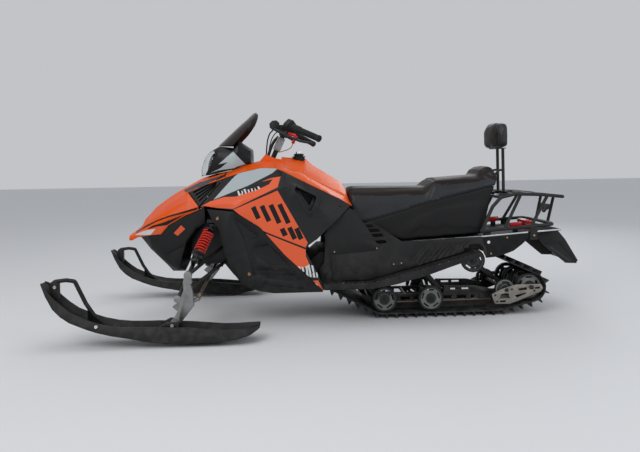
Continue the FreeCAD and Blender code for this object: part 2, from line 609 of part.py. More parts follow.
# Cross tubes: x, half width, height.
CROSS = [(-880, 190, 608), (-956, 188, 620), (-1090, 182, 616), (-1213, 178, 605)]
cross = [cyl(V(x, -half, z), V(x, half, z), CROSS_R) for x, half, z in CROSS]
rails = both([rod([(-880, 90, 608), (-956, 90, 620), (-1090, 90, 616)], 6)])
bumper = rod([(-765, 198, 436), (-1026, 198, 456), (-1150, 190, 464), (-1172, 120, 462), (-1172, -120, 462),
              (-1150, -190, 464), (-1026, -198, 456), (-765, -198, 436)], RACK_R, 34)
rear_posts = both([rod([(-1212, 76, 604), (-1178, 72, 462)], CROSS_R)])
brackets = both([box(-1061, -1025, 200, 206, 388, 458)])
brackets = [b.cut(cyl(V(-1042, -THROUGH, 404), V(-1042, THROUGH, 404), 5.5)) for b in brackets]
feet = both([prism_y([(-822, 415.0), (-786, 412.5), (-786, 440), (-822, 440)], 186, 202)])
rack = both([side_tube] + uprights) + cross + rails + [bumper] + rear_posts + brackets + feet
save("rear_rack", [fuse(rack)])

# Hitch plate between the two rear uprights: a band y, z, a round lobe, and its bolt hole.
HITCH_HALF = 3.0
HITCH_HOLE_R = 6.5
hitch_dir = (V(-1212, 0, 604) - V(-1178, 0, 462)).normalize()
hitch_mid = V(-1195, 0, 531)
hitch_axis = V(-hitch_dir.z, 0, hitch_dir.x)
hitch_plan = [(-72, 27), (72, 27), (72, 8), (24, -9), (-24, -9), (-72, 8)]
hitch_face = Part.Face(polygon([V(-HITCH_HALF, y, z) for y, z in hitch_plan]))
hitch_band = hitch_face.extrude(V(2 * HITCH_HALF, 0, 0))
hitch = fuse([hitch_band, cyl(V(-HITCH_HALF, 0, 0), V(HITCH_HALF, 0, 0), 24)])
hitch = hitch.cut(cyl(V(-9, 0, 0), V(9, 0, 0), HITCH_HOLE_R))
hitch.rotate(V(0, 0, 0), V(0, 1, 0), math.degrees(math.atan2(hitch_dir.x, hitch_dir.z)))
hitch.translate(hitch_mid)
hitch = hitch.cut(Part.makeCompound(rear_posts))
save("hitch_plate", [hitch])
print("hitch axis", hitch_axis, "at", hitch_mid)

# Snow flap: a bent sheet hung under the deck, a thicker wing at each side, short slanted ribs inside.
WING_THICK = 7.0
SHEET_THICK = 4.0
FLAP_RIBS = 6
RIB_STEP = V(-22, 0, -16)
under_deck_side = [(-1080, 300), (-1080, 429.85), (deck_x, deck_z - DECK_THICK), (-1400, 420), (-1400, 200)]
under_deck = prism_y(under_deck_side, -THROUGH, THROUGH)
sheet_half = FLAP_HALF - WING_THICK + 1
flap = prism_y(FLAP_BODY, -sheet_half, sheet_half)
flap_in = [(-1050, 300), (-1050, 424), (-1184, 431), (-1226, 375), (-1290, 266), (-1294, 240), (-1200, 240)]
flap = flap.cut(prism_y(flap_in, SHEET_THICK - sheet_half, sheet_half - SHEET_THICK))
wing = prism_y(FLAP_WING, FLAP_HALF - WING_THICK, FLAP_HALF)
rib_side = [(-1150, 340), (-1154, 342), (-1178, 320), (-1174, 316)]
inner_side = prism_y(FLAP_BODY, sheet_half - 0.5, sheet_half + SHEET_THICK)
ribs = []
for k in range(FLAP_RIBS):
    rib = prism_y(rib_side, sheet_half, sheet_half + 3)
    rib.translate(RIB_STEP * k)
    ribs.append(rib.common(inner_side))
save("snow_flap", [fuse([flap] + both([wing] + ribs)).common(under_deck)])

# Lamps: the tail lamp on the deck, and a marker on a stalk each side of the tunnel's top.
LAMP_HALF = 62.0
lamp = prism_y([(-1066, 431.6), (-1066, 470), (-1082, 476), (-1104, 470), (-1108, 434.5)], -LAMP_HALF, LAMP_HALF)
marker = fuse([prism_y([(-936, 445), (-933, 474), (-994, 477), (-996, 450)], 158, 172),
               prism_y([(-950, 422.9), (-950, 455), (-978, 455), (-978, 424.9)], 160, 166)])
tunnel_above = prism_y(TUNNEL_TOP + [(-1012, 300), (118, 190)], -TUNNEL_HALF, TUNNEL_HALF)
marker = marker.cut(tunnel_above)
save("tail_light", both([marker]) + [lamp.cut(deck)])

# Front body shells: all are spans of one mitred section, so they meet along open seams.
BODY = [TOP_LINE, CREASE_LINE, SHOULDER_LINE, MID_LINE, LOW_LINE]
nose = skin(BODY, 657, 1035, SKIN, True)
brow = skin(BODY, 532, 718, SKIN, True, (0, 2))
hood_side = [(1060, 380), (1060, 1000), (500, 1000), (500, 747), (532, 734), (719, 665), (660, 594), (658, 380)]
save("hood", [fuse([nose.common(prism_y(hood_side, -THROUGH, THROUGH)), brow])])

console = skin(BODY, -107, 529, SKIN, True, (0, 2))
# A raised collar stands round the opening for the steering post.
FILLER_R = 33.5
collar = prism_y([(360, 803), (360, 816), (330, 851), (279, 829), (240, 822), (240, 803)], -84, 84)
console = fuse([console, collar]).cut(box(248, 352, -62, 62, 700, 900))
console = console.cut(cyl(V(CAP_X, 0, 780), V(CAP_X, 0, 900), FILLER_R))
save("tank_cover", [console])

# Louvre grilles: slots spread between the grille's lower and upper edge lines.
LOUVRE_SLOTS = 4
GRILLE_FRONT = [(717, 663), (657, 594)]
GRILLE_REAR = [(540, 740), (565, 702)]


def between(a, b, share):
    return (a[0] + (b[0] - a[0]) * share, a[1] + (b[1] - a[1]) * share)


side = skin(BODY, -107, 714, SKIN, False, (2, 4))
louvre = side.common(prism_y(LOUVRE_SIDE, 100, THROUGH))
for k in range(LOUVRE_SLOTS):
    t = 0.16 + 0.21 * k
    front = between(GRILLE_FRONT[0], GRILLE_FRONT[1], t)
    rear = between(GRILLE_REAR[0], GRILLE_REAR[1], t)
    ax, az = between(front, rear, 0.12)
    bx, bz = between(front, rear, 0.86)
    louvre = louvre.cut(prism_y([(ax, az - 4), (ax, az + 5), (bx, bz + 5), (bx, bz - 4)], 100, THROUGH))
save("louvre_grilles", both([louvre]))

panel = side.common(prism_y(PANEL_SIDE, 100, THROUGH))
# Air vent: a triangular pocket with rounded corners, its floor open at the middle.
VENT_RIM = [(198, 690), (190, 699), (72, 641), (61, 628), (66, 612), (97, 550), (108, 544), (118, 550),
            (196, 670)]
VENT_MID = (112, 626)
VENT_DEEP = 22.0


def shrunk(outline, middle, share):
    return [(middle[0] + (x - middle[0]) * share, middle[1] + (z - middle[1]) * share) for x, z in outline]


pocket = skin(BODY, -107, 714, VENT_DEEP, False, (2, 4))
pocket_air = skin(BODY, -107, 714, VENT_DEEP - 3, False, (2, 4))
pocket_hole = shrunk(VENT_RIM, VENT_MID, 0.80)
vent = prism_y(VENT_RIM, 100, THROUGH)
tub = pocket.cut(pocket_air).common(vent)
tub = tub.cut(prism_y(shrunk(VENT_RIM, VENT_MID, 0.45), 100, THROUGH))
wall = pocket.common(vent.cut(prism_y(pocket_hole, 100, THROUGH)))
panel = fuse([panel.cut(vent), wall, tub])
save("side_panel_left", [panel])
save("side_panel_right", [mirrored(panel)])

# Belly pan: the body's lower line with its side, floor and middle lines, and three shallow panels.
BELLY_RELIEF = 2.2
BELLY_LINE = [(700, 262, 190), (49, 262, 190)]
FLOOR_LINE = [(700, 236, 156), (49, 236, 156)]
KEEL_LINE = [(700, 0, 154), (49, 0, 154)]
low_shift = [(x, y, z - GAP) for x, y, z in LOW_LINE]
belly_lines = [low_shift, BELLY_LINE, FLOOR_LINE, KEEL_LINE]
belly = skin(belly_lines, 49, 622, SKIN)
belly = belly.common(prism_y(COWL_SIDE, 0, THROUGH)).cut(box(0, 121, -1, 207, 100, 300))
belly_layer = skin(belly_lines, 49, 622, BELLY_RELIEF)
BELLY_PANELS = [[(480, 548), (424, 436), (356, 455), (384, 505), (470, 560)],
                [(402, 388), (369, 316), (334, 302), (200, 299), (232, 340), (303, 402)],
                [(392, 262), (160, 248), (120, 214), (152, 178), (354, 208)]]
for outline in BELLY_PANELS:
    belly = belly.cut(belly_layer.common(prism_y(outline, 150, THROUGH)))
save("belly_pan", [fuse(both([belly]))])

# Nose pan: a bowl under the nose and a wing behind it on each side, on creased lines x, half width, height.
pan_top = [(976, 110, 440), (921, 168, 448), (852, 184, 455), (816, 190, 498), (770, 196, 526)]
pan_crease = [(976, 78, 428), (921, 136, 392), (860, 164, 352), (816, 178, 371), (770, 184, 391)]
pan_mid = [(976, 60, 420), (921, 120, 375), (860, 148, 328), (816, 150, 296), (770, 160, 268)]
pan_low = [(976, 0, 412), (908, 0, 322), (835, 0, 238), (770, 0, 236)]
bowl = skin([pan_low, pan_mid, pan_crease, pan_top], 770, 976, -SKIN, True)
wing_top = [(770, 196, 526), (732, 200, 543), (660, 214, 580), (630, 222, 586)]
wing_low = [(770, 168, 285), (728, 184, 411), (678, 196, 480), (630, 210, 510)]
wing_crease = [(770, 184, 391), (728, 191, 424), (678, 202, 492), (630, 214, 520)]
wing = skin([wing_top, wing_crease, wing_low], 630, 770, SKIN)
save("nose_pan", [fuse([bowl] + both([wing]))])

# Lamp pod with its lens in front: x, half width, low z, high z.
POD_RISE = 8.0
# Half section of the pod: share of the half width, share of the height.
POD_SHARE = [(1.0, 0.0), (1.05, 0.30), (1.03, 0.58), (0.94, 0.82), (0.74, 0.96), (0.38, 1.0)]
pod_rows = [(666, 62, 741, 741), (662, 78, 741, 788), (646, 92, 744, 832), (617, 104, 750, 865),
            (573, 116, 760, 889), (500, 130, 775, 880), (470, 130, 790, 915), (405, 118, 806, 872)]
pod_rings = []
for x, y, zl, zh in pod_rows:
    side_points = [(y * a, zl + (zh + POD_RISE - zl) * b) for a, b in POD_SHARE]
    pod_rings.append([V(x, a, b) for a, b in side_points] + [V(x, -a, b) for a, b in reversed(side_points)])
pod = facet_loft(pod_rings)
lens_side = [(690, 735), (646, 738), (612, 800), (588, 862), (620, 900), (700, 860)]
lens_cut = prism_y(lens_side, -THROUGH, THROUGH)
lens = pod.common(lens_cut)
save("headlight_pod", [pod.cut(lens_cut)])
save("headlight_lens", [lens])

# Screen: height, x at the middle, x at the edge, half width.
SCREEN_STEPS = 8
SCREEN_THICK = 4.5
screen_rows = [(900, 584, 495, 128), (935, 546, 464, 131), (962, 517, 438, 130), (990, 487, 417, 126),
               (1014, 460, 400, 118), (1036, 434, 389, 105), (1053, 416, 382, 88), (1066, 402, 379, 66),
               (1073, 394, 378, 42)]
screen_rings = []
for z, xc, xe, half in screen_rows:
    outer = []
    for k in range(-SCREEN_STEPS, SCREEN_STEPS + 1):
        t = k / SCREEN_STEPS
        outer.append((xe + (xc - xe) * (1 - t * t), half * t))
    inner = [(x - SCREEN_THICK, y * 0.985) for x, y in outer]
    screen_rings.append([V(x, y, z) for x, y in outer + inner[::-1]])
save("windshield", [facet_loft(screen_rings, 2 * SCREEN_STEPS + 1)])

# Steering column and bars: the post runs down to the pitman arm under the front frame.
BAR_R = 11.0
POST_R = 13.0
PITMAN_DOWN = 735.0
post_dir = (POST_TOP - POST_LOW).normalize()
post_turn = -math.degrees(math.atan2(-post_dir.x, post_dir.z))
pitman_mid = POST_TOP - post_dir * PITMAN_DOWN
riser = cyl(pitman_mid, POST_TOP - post_dir * 6, POST_R)
clamp = box(-22, 20, -38, 38, -17, 17)
clamp.rotate(V(0, 0, 0), V(0, 1, 0), post_turn)
clamp.translate(POST_TOP)
pitman_plan = [(-22, -22), (-22, 22), (20, 26), (52, 34), (62, 24), (62, -24), (52, -34), (20, -26)]
pitman = prism_z(pitman_plan, -6, 0)
pitman.rotate(V(0, 0, 0), V(0, 1, 0), post_turn)
pitman.translate(pitman_mid)
BAR_BEND = 25.0
bar_half = [(234, 62, 962), (238, 95, 970), (213, 200, 995), (62, 345, 917)]
bar_path = [(x, -y, z) for x, y, z in reversed(bar_half)] + bar_half
bar = rod(bar_path, BAR_R, BAR_BEND)
bar_bore = rod(bar_path, BAR_R + 2 * PIN_PLAY, BAR_BEND)
riser = fuse([riser, clamp, pitman]).cut(cyl(POST_TOP - V(0, 60, 0), POST_TOP + V(0, 60, 0), BAR_R + PIN_PLAY))
save("steering_riser", [riser])
save("handlebar", [bar])
bar_bend = V(*bar_half[-2])
bar_end = V(*bar_half[-1])
grip_dir = (bar_end - bar_bend).normalize()
grip_a = bar_bend + grip_dir * 34
# Grip: distance from its inner end along the bar, radius; then its end wall and the bore for the bar.
GRIP_STEPS = [(0, 26), (5, 26), (7, 19), (58, 18.5), (64, 15), (180, 14.5), (184, 17), (194, 17)]
GRIP_BORE = BAR_R + PIN_PLAY
END_WALL = 6.0
grip_long = (bar_end - grip_a).Length + END_WALL
grip_turned = GRIP_STEPS + [(grip_long, 15), (grip_long, 0), (grip_long - END_WALL, 0),
                            (grip_long - END_WALL, GRIP_BORE), (0, GRIP_BORE)]
grip = Part.Face(polygon([V(r, 0, s) for s, r in grip_turned])).revolve(V(0, 0, 0), V(0, 0, 1), 360)
grip.Placement = FreeCAD.Placement(grip_a, FreeCAD.Rotation(V(0, 0, 1), grip_dir))
save("grips", both([grip]))

# Filler cap, turned: radius, height.
CAP_TURNED = [(0, 798), (32, 798), (32, 834), (37, 834), (38, 837), (24, 840), (24, 843), (28, 845),
              (28, 850), (18, 853), (17, 860), (13, 864), (0, 864)]
cap = Part.Face(polygon([V(CAP_X + r, 0, z) for r, z in CAP_TURNED]))
save("fuel_cap", [cap.revolve(V(CAP_X, 0, 0), V(0, 0, 1), 360)])

# Brake cylinder with its eight-sided reservoir, lever and clamp; the switch housing beside the grip.
RESERVOIR = [(304, 1007), (291, 1021), (270, 1023), (256, 1011), (255, 990), (263, 976), (288, 975),
             (302, 988)]
RESERVOIR_MID = (279, 999)
master = prism_y(RESERVOIR, 108, 150)
master_lid = prism_y(shrunk(RESERVOIR, RESERVOIR_MID, 1.08), 120, 124)
perch = prism_y([(262, 1000), (262, 968), (214, 962), (210, 990), (232, 1000)], 116, 142)
lever = rod([(282, 148, 986), (276, 196, 972), (214, 250, 936), (150, 305, 908), (96, 348, 896)], 6.5, 30)
lever = fuse([lever, Part.makeSphere(10, V(96, 348, 896)), cyl(V(282, 136, 986), V(282, 160, 986), 11)])
switch_side = [(-26, -22), (-20, -26), (20, -26), (27, -18), (27, 16), (18, 25), (-16, 27), (-26, 18)]
switch_box = prism_z(switch_side, 0, 30)
switch_box.Placement = FreeCAD.Placement(bar_bend + grip_dir * 2, FreeCAD.Rotation(V(0, 0, 1), grip_dir))
save("brake_lever", [fuse([master, master_lid, perch, lever, switch_box]).cut(bar_bore)])
thumb = prism_y([(262, 1010), (262, 972), (246, 962), (212, 966), (208, 1004), (222, 1014)], -178, -130)
tip = rod([(236, -170, 980), (222, -205, 956), (198, -232, 944), (178, -244, 940)], 6, 16)
tip = fuse([tip, prism_z([(186, -230), (198, -248), (170, -262), (160, -244)], 934, 946)])
save("throttle_lever", [fuse([thumb, tip, mirrored(switch_box)]).cut(bar_bore)])


def cord_arcs(points, r, name):
    pts = [V(*p) for p in points]
    runs = [(b - a).Length for a, b in zip(pts, pts[1:])]
    edges = []
    start = pts[0]
    for i in range(1, len(pts) - 1):
        u = (pts[i - 1] - pts[i]).normalize()
        w = (pts[i + 1] - pts[i]).normalize()
        half_turn = (math.pi - u.getAngle(w)) / 2
        cut = 0.45 * min(runs[i - 1], runs[i])
        radius = cut / math.tan(half_turn)
        print(name, "bend", i, "radius", round(radius), "turn", round(math.degrees(half_turn * 2)))
        p0 = pts[i] + u * cut
        p1 = pts[i] + w * cut
        toward = (u + w).normalize()
        middle = pts[i] + toward * (radius / math.cos(half_turn) - radius)
        edges.append(Part.makeLine(start, p0))
        edges.append(Part.Arc(p0, middle, p1).toShape())
        start = p1
    edges.append(Part.makeLine(start, pts[-1]))
    path = Part.Wire(edges)
    ring = Part.Wire(Part.makeCircle(r, pts[0], (pts[1] - pts[0]).normalize()))
    tube = path.makePipeShell([ring], True, False, 2)
    filled = tube.Volume / (math.pi * r * r * path.Length)
    print(name, "length", round(path.Length), "volume ratio", round(filled, 3))
    return tube


# Cables from the bar down the post into the collar: wiring loom, brake hose, throttle cable.
# Each is a route of points and a radius.
CABLES = [("loom", 8.0, [(262, -26, 948), (287, -24, 925), (303, -19, 893), (315, -13, 858), (327, -9, 822),
                         (338, -8, 786)]),
          ("brake_hose", 3.5, [(288, 118, 974), (305, 96, 960), (317, 68, 933), (324, 42, 897),
                               (328, 23, 856), (331, 16, 818), (337, 15, 784)]),
          ("throttle_cable", 3.0, [(262, -140, 985), (283, -122, 972), (301, -93, 944), (312, -64, 905),
                                   (318, -40, 862), (322, -29, 822), (327, -27, 784)])]
cables = [cord_arcs(route, r, name) for name, r, route in CABLES]
for i, cable in enumerate(cables):
    for held in (fuse([thumb, tip]), master, perch, riser, bar):
        cables[i] = cables[i].cut(held)
    cables[i] = max(cables[i].Solids, key=lambda solid: solid.Volume)
save("control_cables", cables)

# Safety lanyard: a cap on the stop switch and its limp cord down to a ring on the post.
CAP_LOW = V(186, -96, 912)
CAP_SHOULDER = V(172, -100, 950)
CAP_HIGH = V(170, -100.5, 956)
lanyard_cap = fuse([cyl(CAP_LOW, CAP_SHOULDER, 9), cyl(CAP_SHOULDER, CAP_HIGH, 13)])
switch_stub = cyl(CAP_HIGH, V(232, -104, 972), 8)
lanyard_route = [(186, -96, 912), (190, -94, 899), (199, -88, 887), (213, -76, 878), (230, -60, 872),
                 (247, -43, 867), (262, -27, 863), (273, -12, 866)]
lanyard = cord_arcs(lanyard_route, 2.2, "lanyard")
lanyard = fuse([lanyard_cap, switch_stub.cut(bar_bore), lanyard]).cut(riser).cut(bar_bore)
save("stop_lanyard", [max(lanyard.Solids, key=lambda solid: solid.Volume)])

# Engine as one plain block on two rails, which run from the tunnel to the front frame.
ENGINE_LOW = 225.0
save("engine_block", [box(128, 372, -150, 150, ENGINE_LOW, 600)])
UPPER_IN_Z = 405.0
LOWER_IN_Z = 320.0
PIVOT_Y = 134.0
PLATE_Y = 112.0
PIN_R = 5.0
# Arm pivots on the frame: x of the bush, height.
PIVOTS = [(520, LOWER_IN_Z), (690, LOWER_IN_Z), (522, UPPER_IN_Z), (655, UPPER_IN_Z)]
frame_side = [(712, 292), (712, 425), (615, 545), (480, 570), (460, 570), (460, 230), (500, 230), (548, 292)]
plates = both([prism_y(frame_side, PLATE_Y, PLATE_Y + 6)])
ears = []
for x, z in PIVOTS:
    for side_x in (x - 21, x + 17):
        ears.append(box(side_x, side_x + 4, PLATE_Y + 6, PIVOT_Y + 7, z - 11, z + 11))
    ears.append(cyl(V(x - 21, PIVOT_Y, z), V(x + 21, PIVOT_Y, z), PIN_R))
SHOCK_TOP = V(592, 234, 500)
SHOCK_LOW = V(655, 368, 352)
for side_x in (SHOCK_TOP.x - 20, SHOCK_TOP.x + 16):
    ears.append(box(side_x, side_x + 4, SHOCK_TOP.y - 14, SHOCK_TOP.y + 14, SHOCK_TOP.z - 14, 516))
ears.append(cyl(SHOCK_TOP - V(20, 0, 0), SHOCK_TOP + V(20, 0, 0), PIN_R))
links = [box(646, 708, -PLATE_Y, PLATE_Y, 292, 298), box(462, 468, -PLATE_Y, PLATE_Y, 230, 570),
         box(574, 614, -252, 252, 514, 530), box(612, 706, -PLATE_Y, PLATE_Y, 420, 426),
         box(462, 468, -PLATE_Y - 6, PLATE_Y + 6, 205, 240)]
engine_rails = both([box(118, 468, 90, PLATE_Y + 6, 205, ENGINE_LOW)])
bulkhead = fuse(plates + both(ears) + links + engine_rails)
save("bulkhead", [bulkhead.cut(cyl(POST_TOP - post_dir * 400, POST_TOP - post_dir * 760, 19))])

# Kingpin joints: an eye on the arm sits in a fork of the spindle, on a pin along the kingpin axis.
king = (KING_TOP - KING_LOW).normalize()
EYE_R = 11.0
EYE_HALF = 7.0
FORK_GAP = 8.5


def along_king(shape, at):
    shape.rotate(V(0, 0, 0), V(0, 1, 0), math.degrees(math.atan2(king.x, king.z)))
    shape.translate(at)
    return shape


def arm(eye_at, inner_z, rear_x, front_x):
    eye = along_king(Part.makeCylinder(EYE_R, 2 * EYE_HALF, V(0, 0, -EYE_HALF)), eye_at)
    neck = cyl(eye_at, eye_at - V(0, 30, 0), 6.5)
    start = eye_at - V(0, 26, 0)
    legs = [rod([(start.x - 3, start.y, start.z), (rear_x, PIVOT_Y, inner_z)], 8.5),
            rod([(start.x + 2, start.y, start.z), (front_x, PIVOT_Y, inner_z)], 8.5)]
    bushes = [cyl(V(x - 16.6, PIVOT_Y, inner_z), V(x + 16.6, PIVOT_Y, inner_z), 12) for x in (rear_x, front_x)]
    shape = fuse([eye, neck] + legs + bushes)
    shape = shape.cut(along_king(Part.makeCylinder(PIN_R + PIN_PLAY, 40, V(0, 0, -20)), eye_at))
    for x in (rear_x, front_x):
        shape = shape.cut(cyl(V(x - 30, PIVOT_Y, inner_z), V(x + 30, PIVOT_Y, inner_z), PIN_R + PIN_PLAY))
    return shape


save("lower_arms", both([arm(KING_LOW, LOWER_IN_Z, 520, 690)]))
seat_low = [(SHOCK_LOW.y - 24, 326), (SHOCK_LOW.y + 24, 312), (SHOCK_LOW.y + 12, 360), (SHOCK_LOW.y - 10, 364)]
shock_ears = []
for side_x in (SHOCK_LOW.x - 17, SHOCK_LOW.x + 13):
    face = Part.Face(polygon([V(side_x, y, z) for y, z in seat_low]))
    shock_ears.append(face.extrude(V(4, 0, 0)))
shock_ears.append(cyl(SHOCK_LOW - V(17, 0, 0), SHOCK_LOW + V(17, 0, 0), PIN_R))
save("upper_arms", both([fuse([arm(KING_TOP, UPPER_IN_Z, 522, 655)] + shock_ears)]))

# Front shocks: rod, body, two spring seats, and an eye at each end on its pin.
shock_dir = (SHOCK_TOP - SHOCK_LOW).normalize()
shock_long = (SHOCK_TOP - SHOCK_LOW).Length
SPRING_FROM = 40.0
SPRING_TO = shock_long - 40.0
damper = fuse([cyl(SHOCK_LOW + shock_dir * 6, SHOCK_TOP - shock_dir * 6, 8),
               cyl(SHOCK_LOW + shock_dir * 30, SHOCK_LOW + shock_dir * 110, 17),
               cyl(SHOCK_LOW + shock_dir * (SPRING_FROM - 7), SHOCK_LOW + shock_dir * SPRING_FROM, 31),
               cyl(SHOCK_LOW + shock_dir * SPRING_TO, SHOCK_LOW + shock_dir * (SPRING_TO + 6), 31),
               cyl(SHOCK_LOW - V(12.5, 0, 0), SHOCK_LOW + V(12.5, 0, 0), 11),
               cyl(SHOCK_TOP - V(15.5, 0, 0), SHOCK_TOP + V(15.5, 0, 0), 11)])
for at in (SHOCK_LOW, SHOCK_TOP):
    damper = damper.cut(cyl(at - V(30, 0, 0), at + V(30, 0, 0), PIN_R + PIN_PLAY))
save("front_shocks", both([damper]))

# Coil springs: a wire section carried round the shock in steps of a twelfth of a turn.
SPRING_R = 25.5
WIRE_R = 4.4
WIRE_SIDES = 6
TURNS = 8
STEPS = 12
SEAT_PLAY = 0.4
spring_x = shock_dir.cross(V(1, 0, 0)).normalize()
spring_y = shock_dir.cross(spring_x).normalize()
coil = []
for k in range(TURNS * STEPS + 1):
    turn = 2 * math.pi * k / STEPS
    radial = spring_x * math.cos(turn) + spring_y * math.sin(turn)
    climb = SPRING_TO - SPRING_FROM - 2 * (WIRE_R + SEAT_PLAY)
    rise = SPRING_FROM + WIRE_R + SEAT_PLAY + climb * k / (TURNS * STEPS)
    mid = SHOCK_LOW + shock_dir * rise + radial * SPRING_R
    ring = []
    for m in range(WIRE_SIDES):
        a = 2 * math.pi * m / WIRE_SIDES
        ring.append(mid + radial * (WIRE_R * math.cos(a)) + shock_dir * (WIRE_R * math.sin(a)))
    coil.append(ring)
save("front_springs", both([facet_loft(coil)]))

# Spindle blade, its forks, the steering arm with its stud, and the foot on the ski bolt.
TIE_OUT = V(627, 428, 200)
TIE_IN = V(596, 30, 288)
BLADE_HALF = 11.0
SKI_BOLT_R = 7.0
blade = [(694, 273), (665, 272), (652, 225), (651, 190), (648, 158), (664, 138), (716, 74), (752, 82),
         (720, 138), (744, 158), (712, 184), (693, 233)]
spindle = [prism_y(blade, KING_Y - BLADE_HALF, KING_Y + BLADE_HALF),
           prism_y([(655, 262), (696, 262), (688, 296), (658, 296)], KING_Y - BLADE_HALF, KING_Y + BLADE_HALF),
           cyl(SKI_BOLT + V(0, KING_Y - BLADE_HALF - SKI_Y, 0), SKI_BOLT + V(0, 20, 0), 17),
           cyl(KING_TOP + V(0, -10, 0), KING_TOP + V(0, 17, 0), 18),
           cyl(KING_LOW + V(0, -10, 0), KING_LOW + V(0, 17, 0), 16)]
arm_foot = TIE_OUT - king * 16
spindle.append(beam((656, KING_Y - 2, 178), (arm_foot.x, arm_foot.y, arm_foot.z), 16, 12))
spindle.append(along_king(Part.makeCylinder(10, 12, V(0, 0, -22)), TIE_OUT))
spindle = fuse(spindle).cut(cyl(SKI_BOLT - V(0, 60, 0), SKI_BOLT + V(0, 40, 0), SKI_BOLT_R + PIN_PLAY))
for at in (KING_TOP, KING_LOW):
    spindle = spindle.cut(along_king(box(-40, 40, -40, 0, -FORK_GAP, FORK_GAP), at))
    spindle = spindle.cut(along_king(Part.makeCylinder(13, 2 * FORK_GAP, V(0, 0, -FORK_GAP)), at))
pins = [along_king(Part.makeCylinder(PIN_R, 28, V(0, 0, -14)), KING_TOP),
        along_king(Part.makeCylinder(PIN_R, 26, V(0, 0, -13)), KING_LOW),
        along_king(Part.makeCylinder(PIN_R, 26, V(0, 0, -14)), TIE_OUT)]
spindle = fuse([spindle] + pins)
save("spindle_left", [spindle])
save("spindle_right", [mirrored(spindle)])

# Tie rods: from the spindle's stud to a ball under the pitman arm.
tie_dir = (TIE_OUT - TIE_IN).normalize()
tie = fuse([cyl(TIE_IN, TIE_OUT - tie_dir * 6, 7), Part.makeSphere(11, TIE_IN),
            along_king(Part.makeCylinder(11, 14, V(0, 0, -7)), TIE_OUT)])
tie = tie.cut(along_king(Part.makeCylinder(PIN_R + PIN_PLAY, 40, V(0, 0, -20)), TIE_OUT))
save("tie_rod_left", [tie])
save("tie_rod_right", [mirrored(tie)])

# Skis: x, half width, height of the bottom, height of the rim; a hollow deck between two rims.
DECK_DEEP = 12.0
ski_rows = [(1306, 30, 283, 290), (1294, 44, 268, 282), (1277, 52, 233, 262), (1244, 60, 178, 222),
            (1210, 64, 145, 190), (1170, 68, 119, 160), (1108, 70, 93, 132), (1054, 72, 74, 112),
            (992, 72, 58, 98), (936, 72, 48, 92), (867, 72, 34, 90), (798, 72, 25, 90),
            (659, 72, 14, 82), (518, 72, 15, 68), (448, 70, 25, 68), (391, 64, 40, 72),
            (355, 48, 62, 76), (348, 36, 68, 78)]
ski_rings = []
for x, half, zl, zh in ski_rows:
    deep = min(DECK_DEEP, (zh - zl) * 0.4)
    # Half section: share of the half width, height.
    deck = zl + max(4.0, deep)
    section = [(0.86, zl), (1.0, zl + 3), (0.97, zl + deep), (0.80, zh), (0.68, zh), (0.60, deck)]
    ski_rings.append([V(x, SKI_Y + half * a, z) for a, z in section]
                     + [V(x, SKI_Y - half * a, z) for a, z in reversed(section)])
ski = facet_loft(ski_rings)
handle_side = [(1262, 214), (1262, 290), (1205, 296), (1168, 290), (1121, 190), (1087, 138), (1015, 74)]
handle = rod([(x, SKI_Y, z) for x, z in handle_side], 9, 14)
saddle_side = [(690, 24), (800, 30), (792, 86), (760, 102), (715, 102)]
saddles = [prism_y(saddle_side, SKI_Y + low, SKI_Y + low + 15) for low in (23, -56)]
bolt = cyl(SKI_BOLT - V(0, 56, 0), SKI_BOLT + V(0, 44, 0), SKI_BOLT_R)
tip_block = prism_y([(1274, 262), (1268, 290), (1250, 296), (1238, 290), (1238, 214), (1252, 206)],
                    SKI_Y - 15, SKI_Y + 15)
foot_gusset = prism_y([(1112, 178), (1090, 148), (1050, 112), (1012, 92), (1000, 74), (1060, 84), (1112, 112)],
                      SKI_Y - 7, SKI_Y + 7)
# Keel under the middle with its steel runner, and a low skag at each side.
keel = prism_y([(925, 50), (867, 36), (798, 28), (659, 18), (518, 19), (448, 30), (452, 20), (518, 8),
                (659, 7), (798, 13), (867, 21)], SKI_Y - 16, SKI_Y + 16)
runner = prism_y([(900, 36), (867, 22), (798, 14), (659, 8), (518, 9), (462, 18), (464, 12), (518, 2),
                  (659, 1), (798, 6), (867, 14), (898, 30)], SKI_Y - 5, SKI_Y + 5)
skags = [prism_y([(925, 50), (867, 35), (798, 27), (659, 17), (518, 18), (448, 28), (460, 22), (518, 11),
                  (659, 10), (798, 19), (867, 28)], SKI_Y + at - 5, SKI_Y + at + 5) for at in (-46, 46)]
ski = fuse([ski, handle, tip_block, foot_gusset, bolt, keel, runner] + saddles + skags)
save("ski_left", [ski])
save("ski_right", [mirrored(ski)])
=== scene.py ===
import bpy
import math
from mathutils import Matrix, Vector, noise


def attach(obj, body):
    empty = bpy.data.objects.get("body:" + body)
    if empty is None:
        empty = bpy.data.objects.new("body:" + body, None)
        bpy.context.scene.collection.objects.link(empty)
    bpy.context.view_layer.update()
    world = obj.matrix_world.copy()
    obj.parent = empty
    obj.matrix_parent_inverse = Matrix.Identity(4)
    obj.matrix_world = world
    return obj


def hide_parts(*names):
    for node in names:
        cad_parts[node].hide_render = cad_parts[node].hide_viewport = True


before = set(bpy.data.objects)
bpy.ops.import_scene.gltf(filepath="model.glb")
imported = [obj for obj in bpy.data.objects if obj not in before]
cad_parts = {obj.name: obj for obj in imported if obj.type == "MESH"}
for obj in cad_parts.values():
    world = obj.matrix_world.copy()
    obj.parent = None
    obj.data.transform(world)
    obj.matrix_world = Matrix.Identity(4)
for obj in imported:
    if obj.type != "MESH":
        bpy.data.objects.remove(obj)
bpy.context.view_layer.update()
scene = bpy.context.scene
mm = 0.001

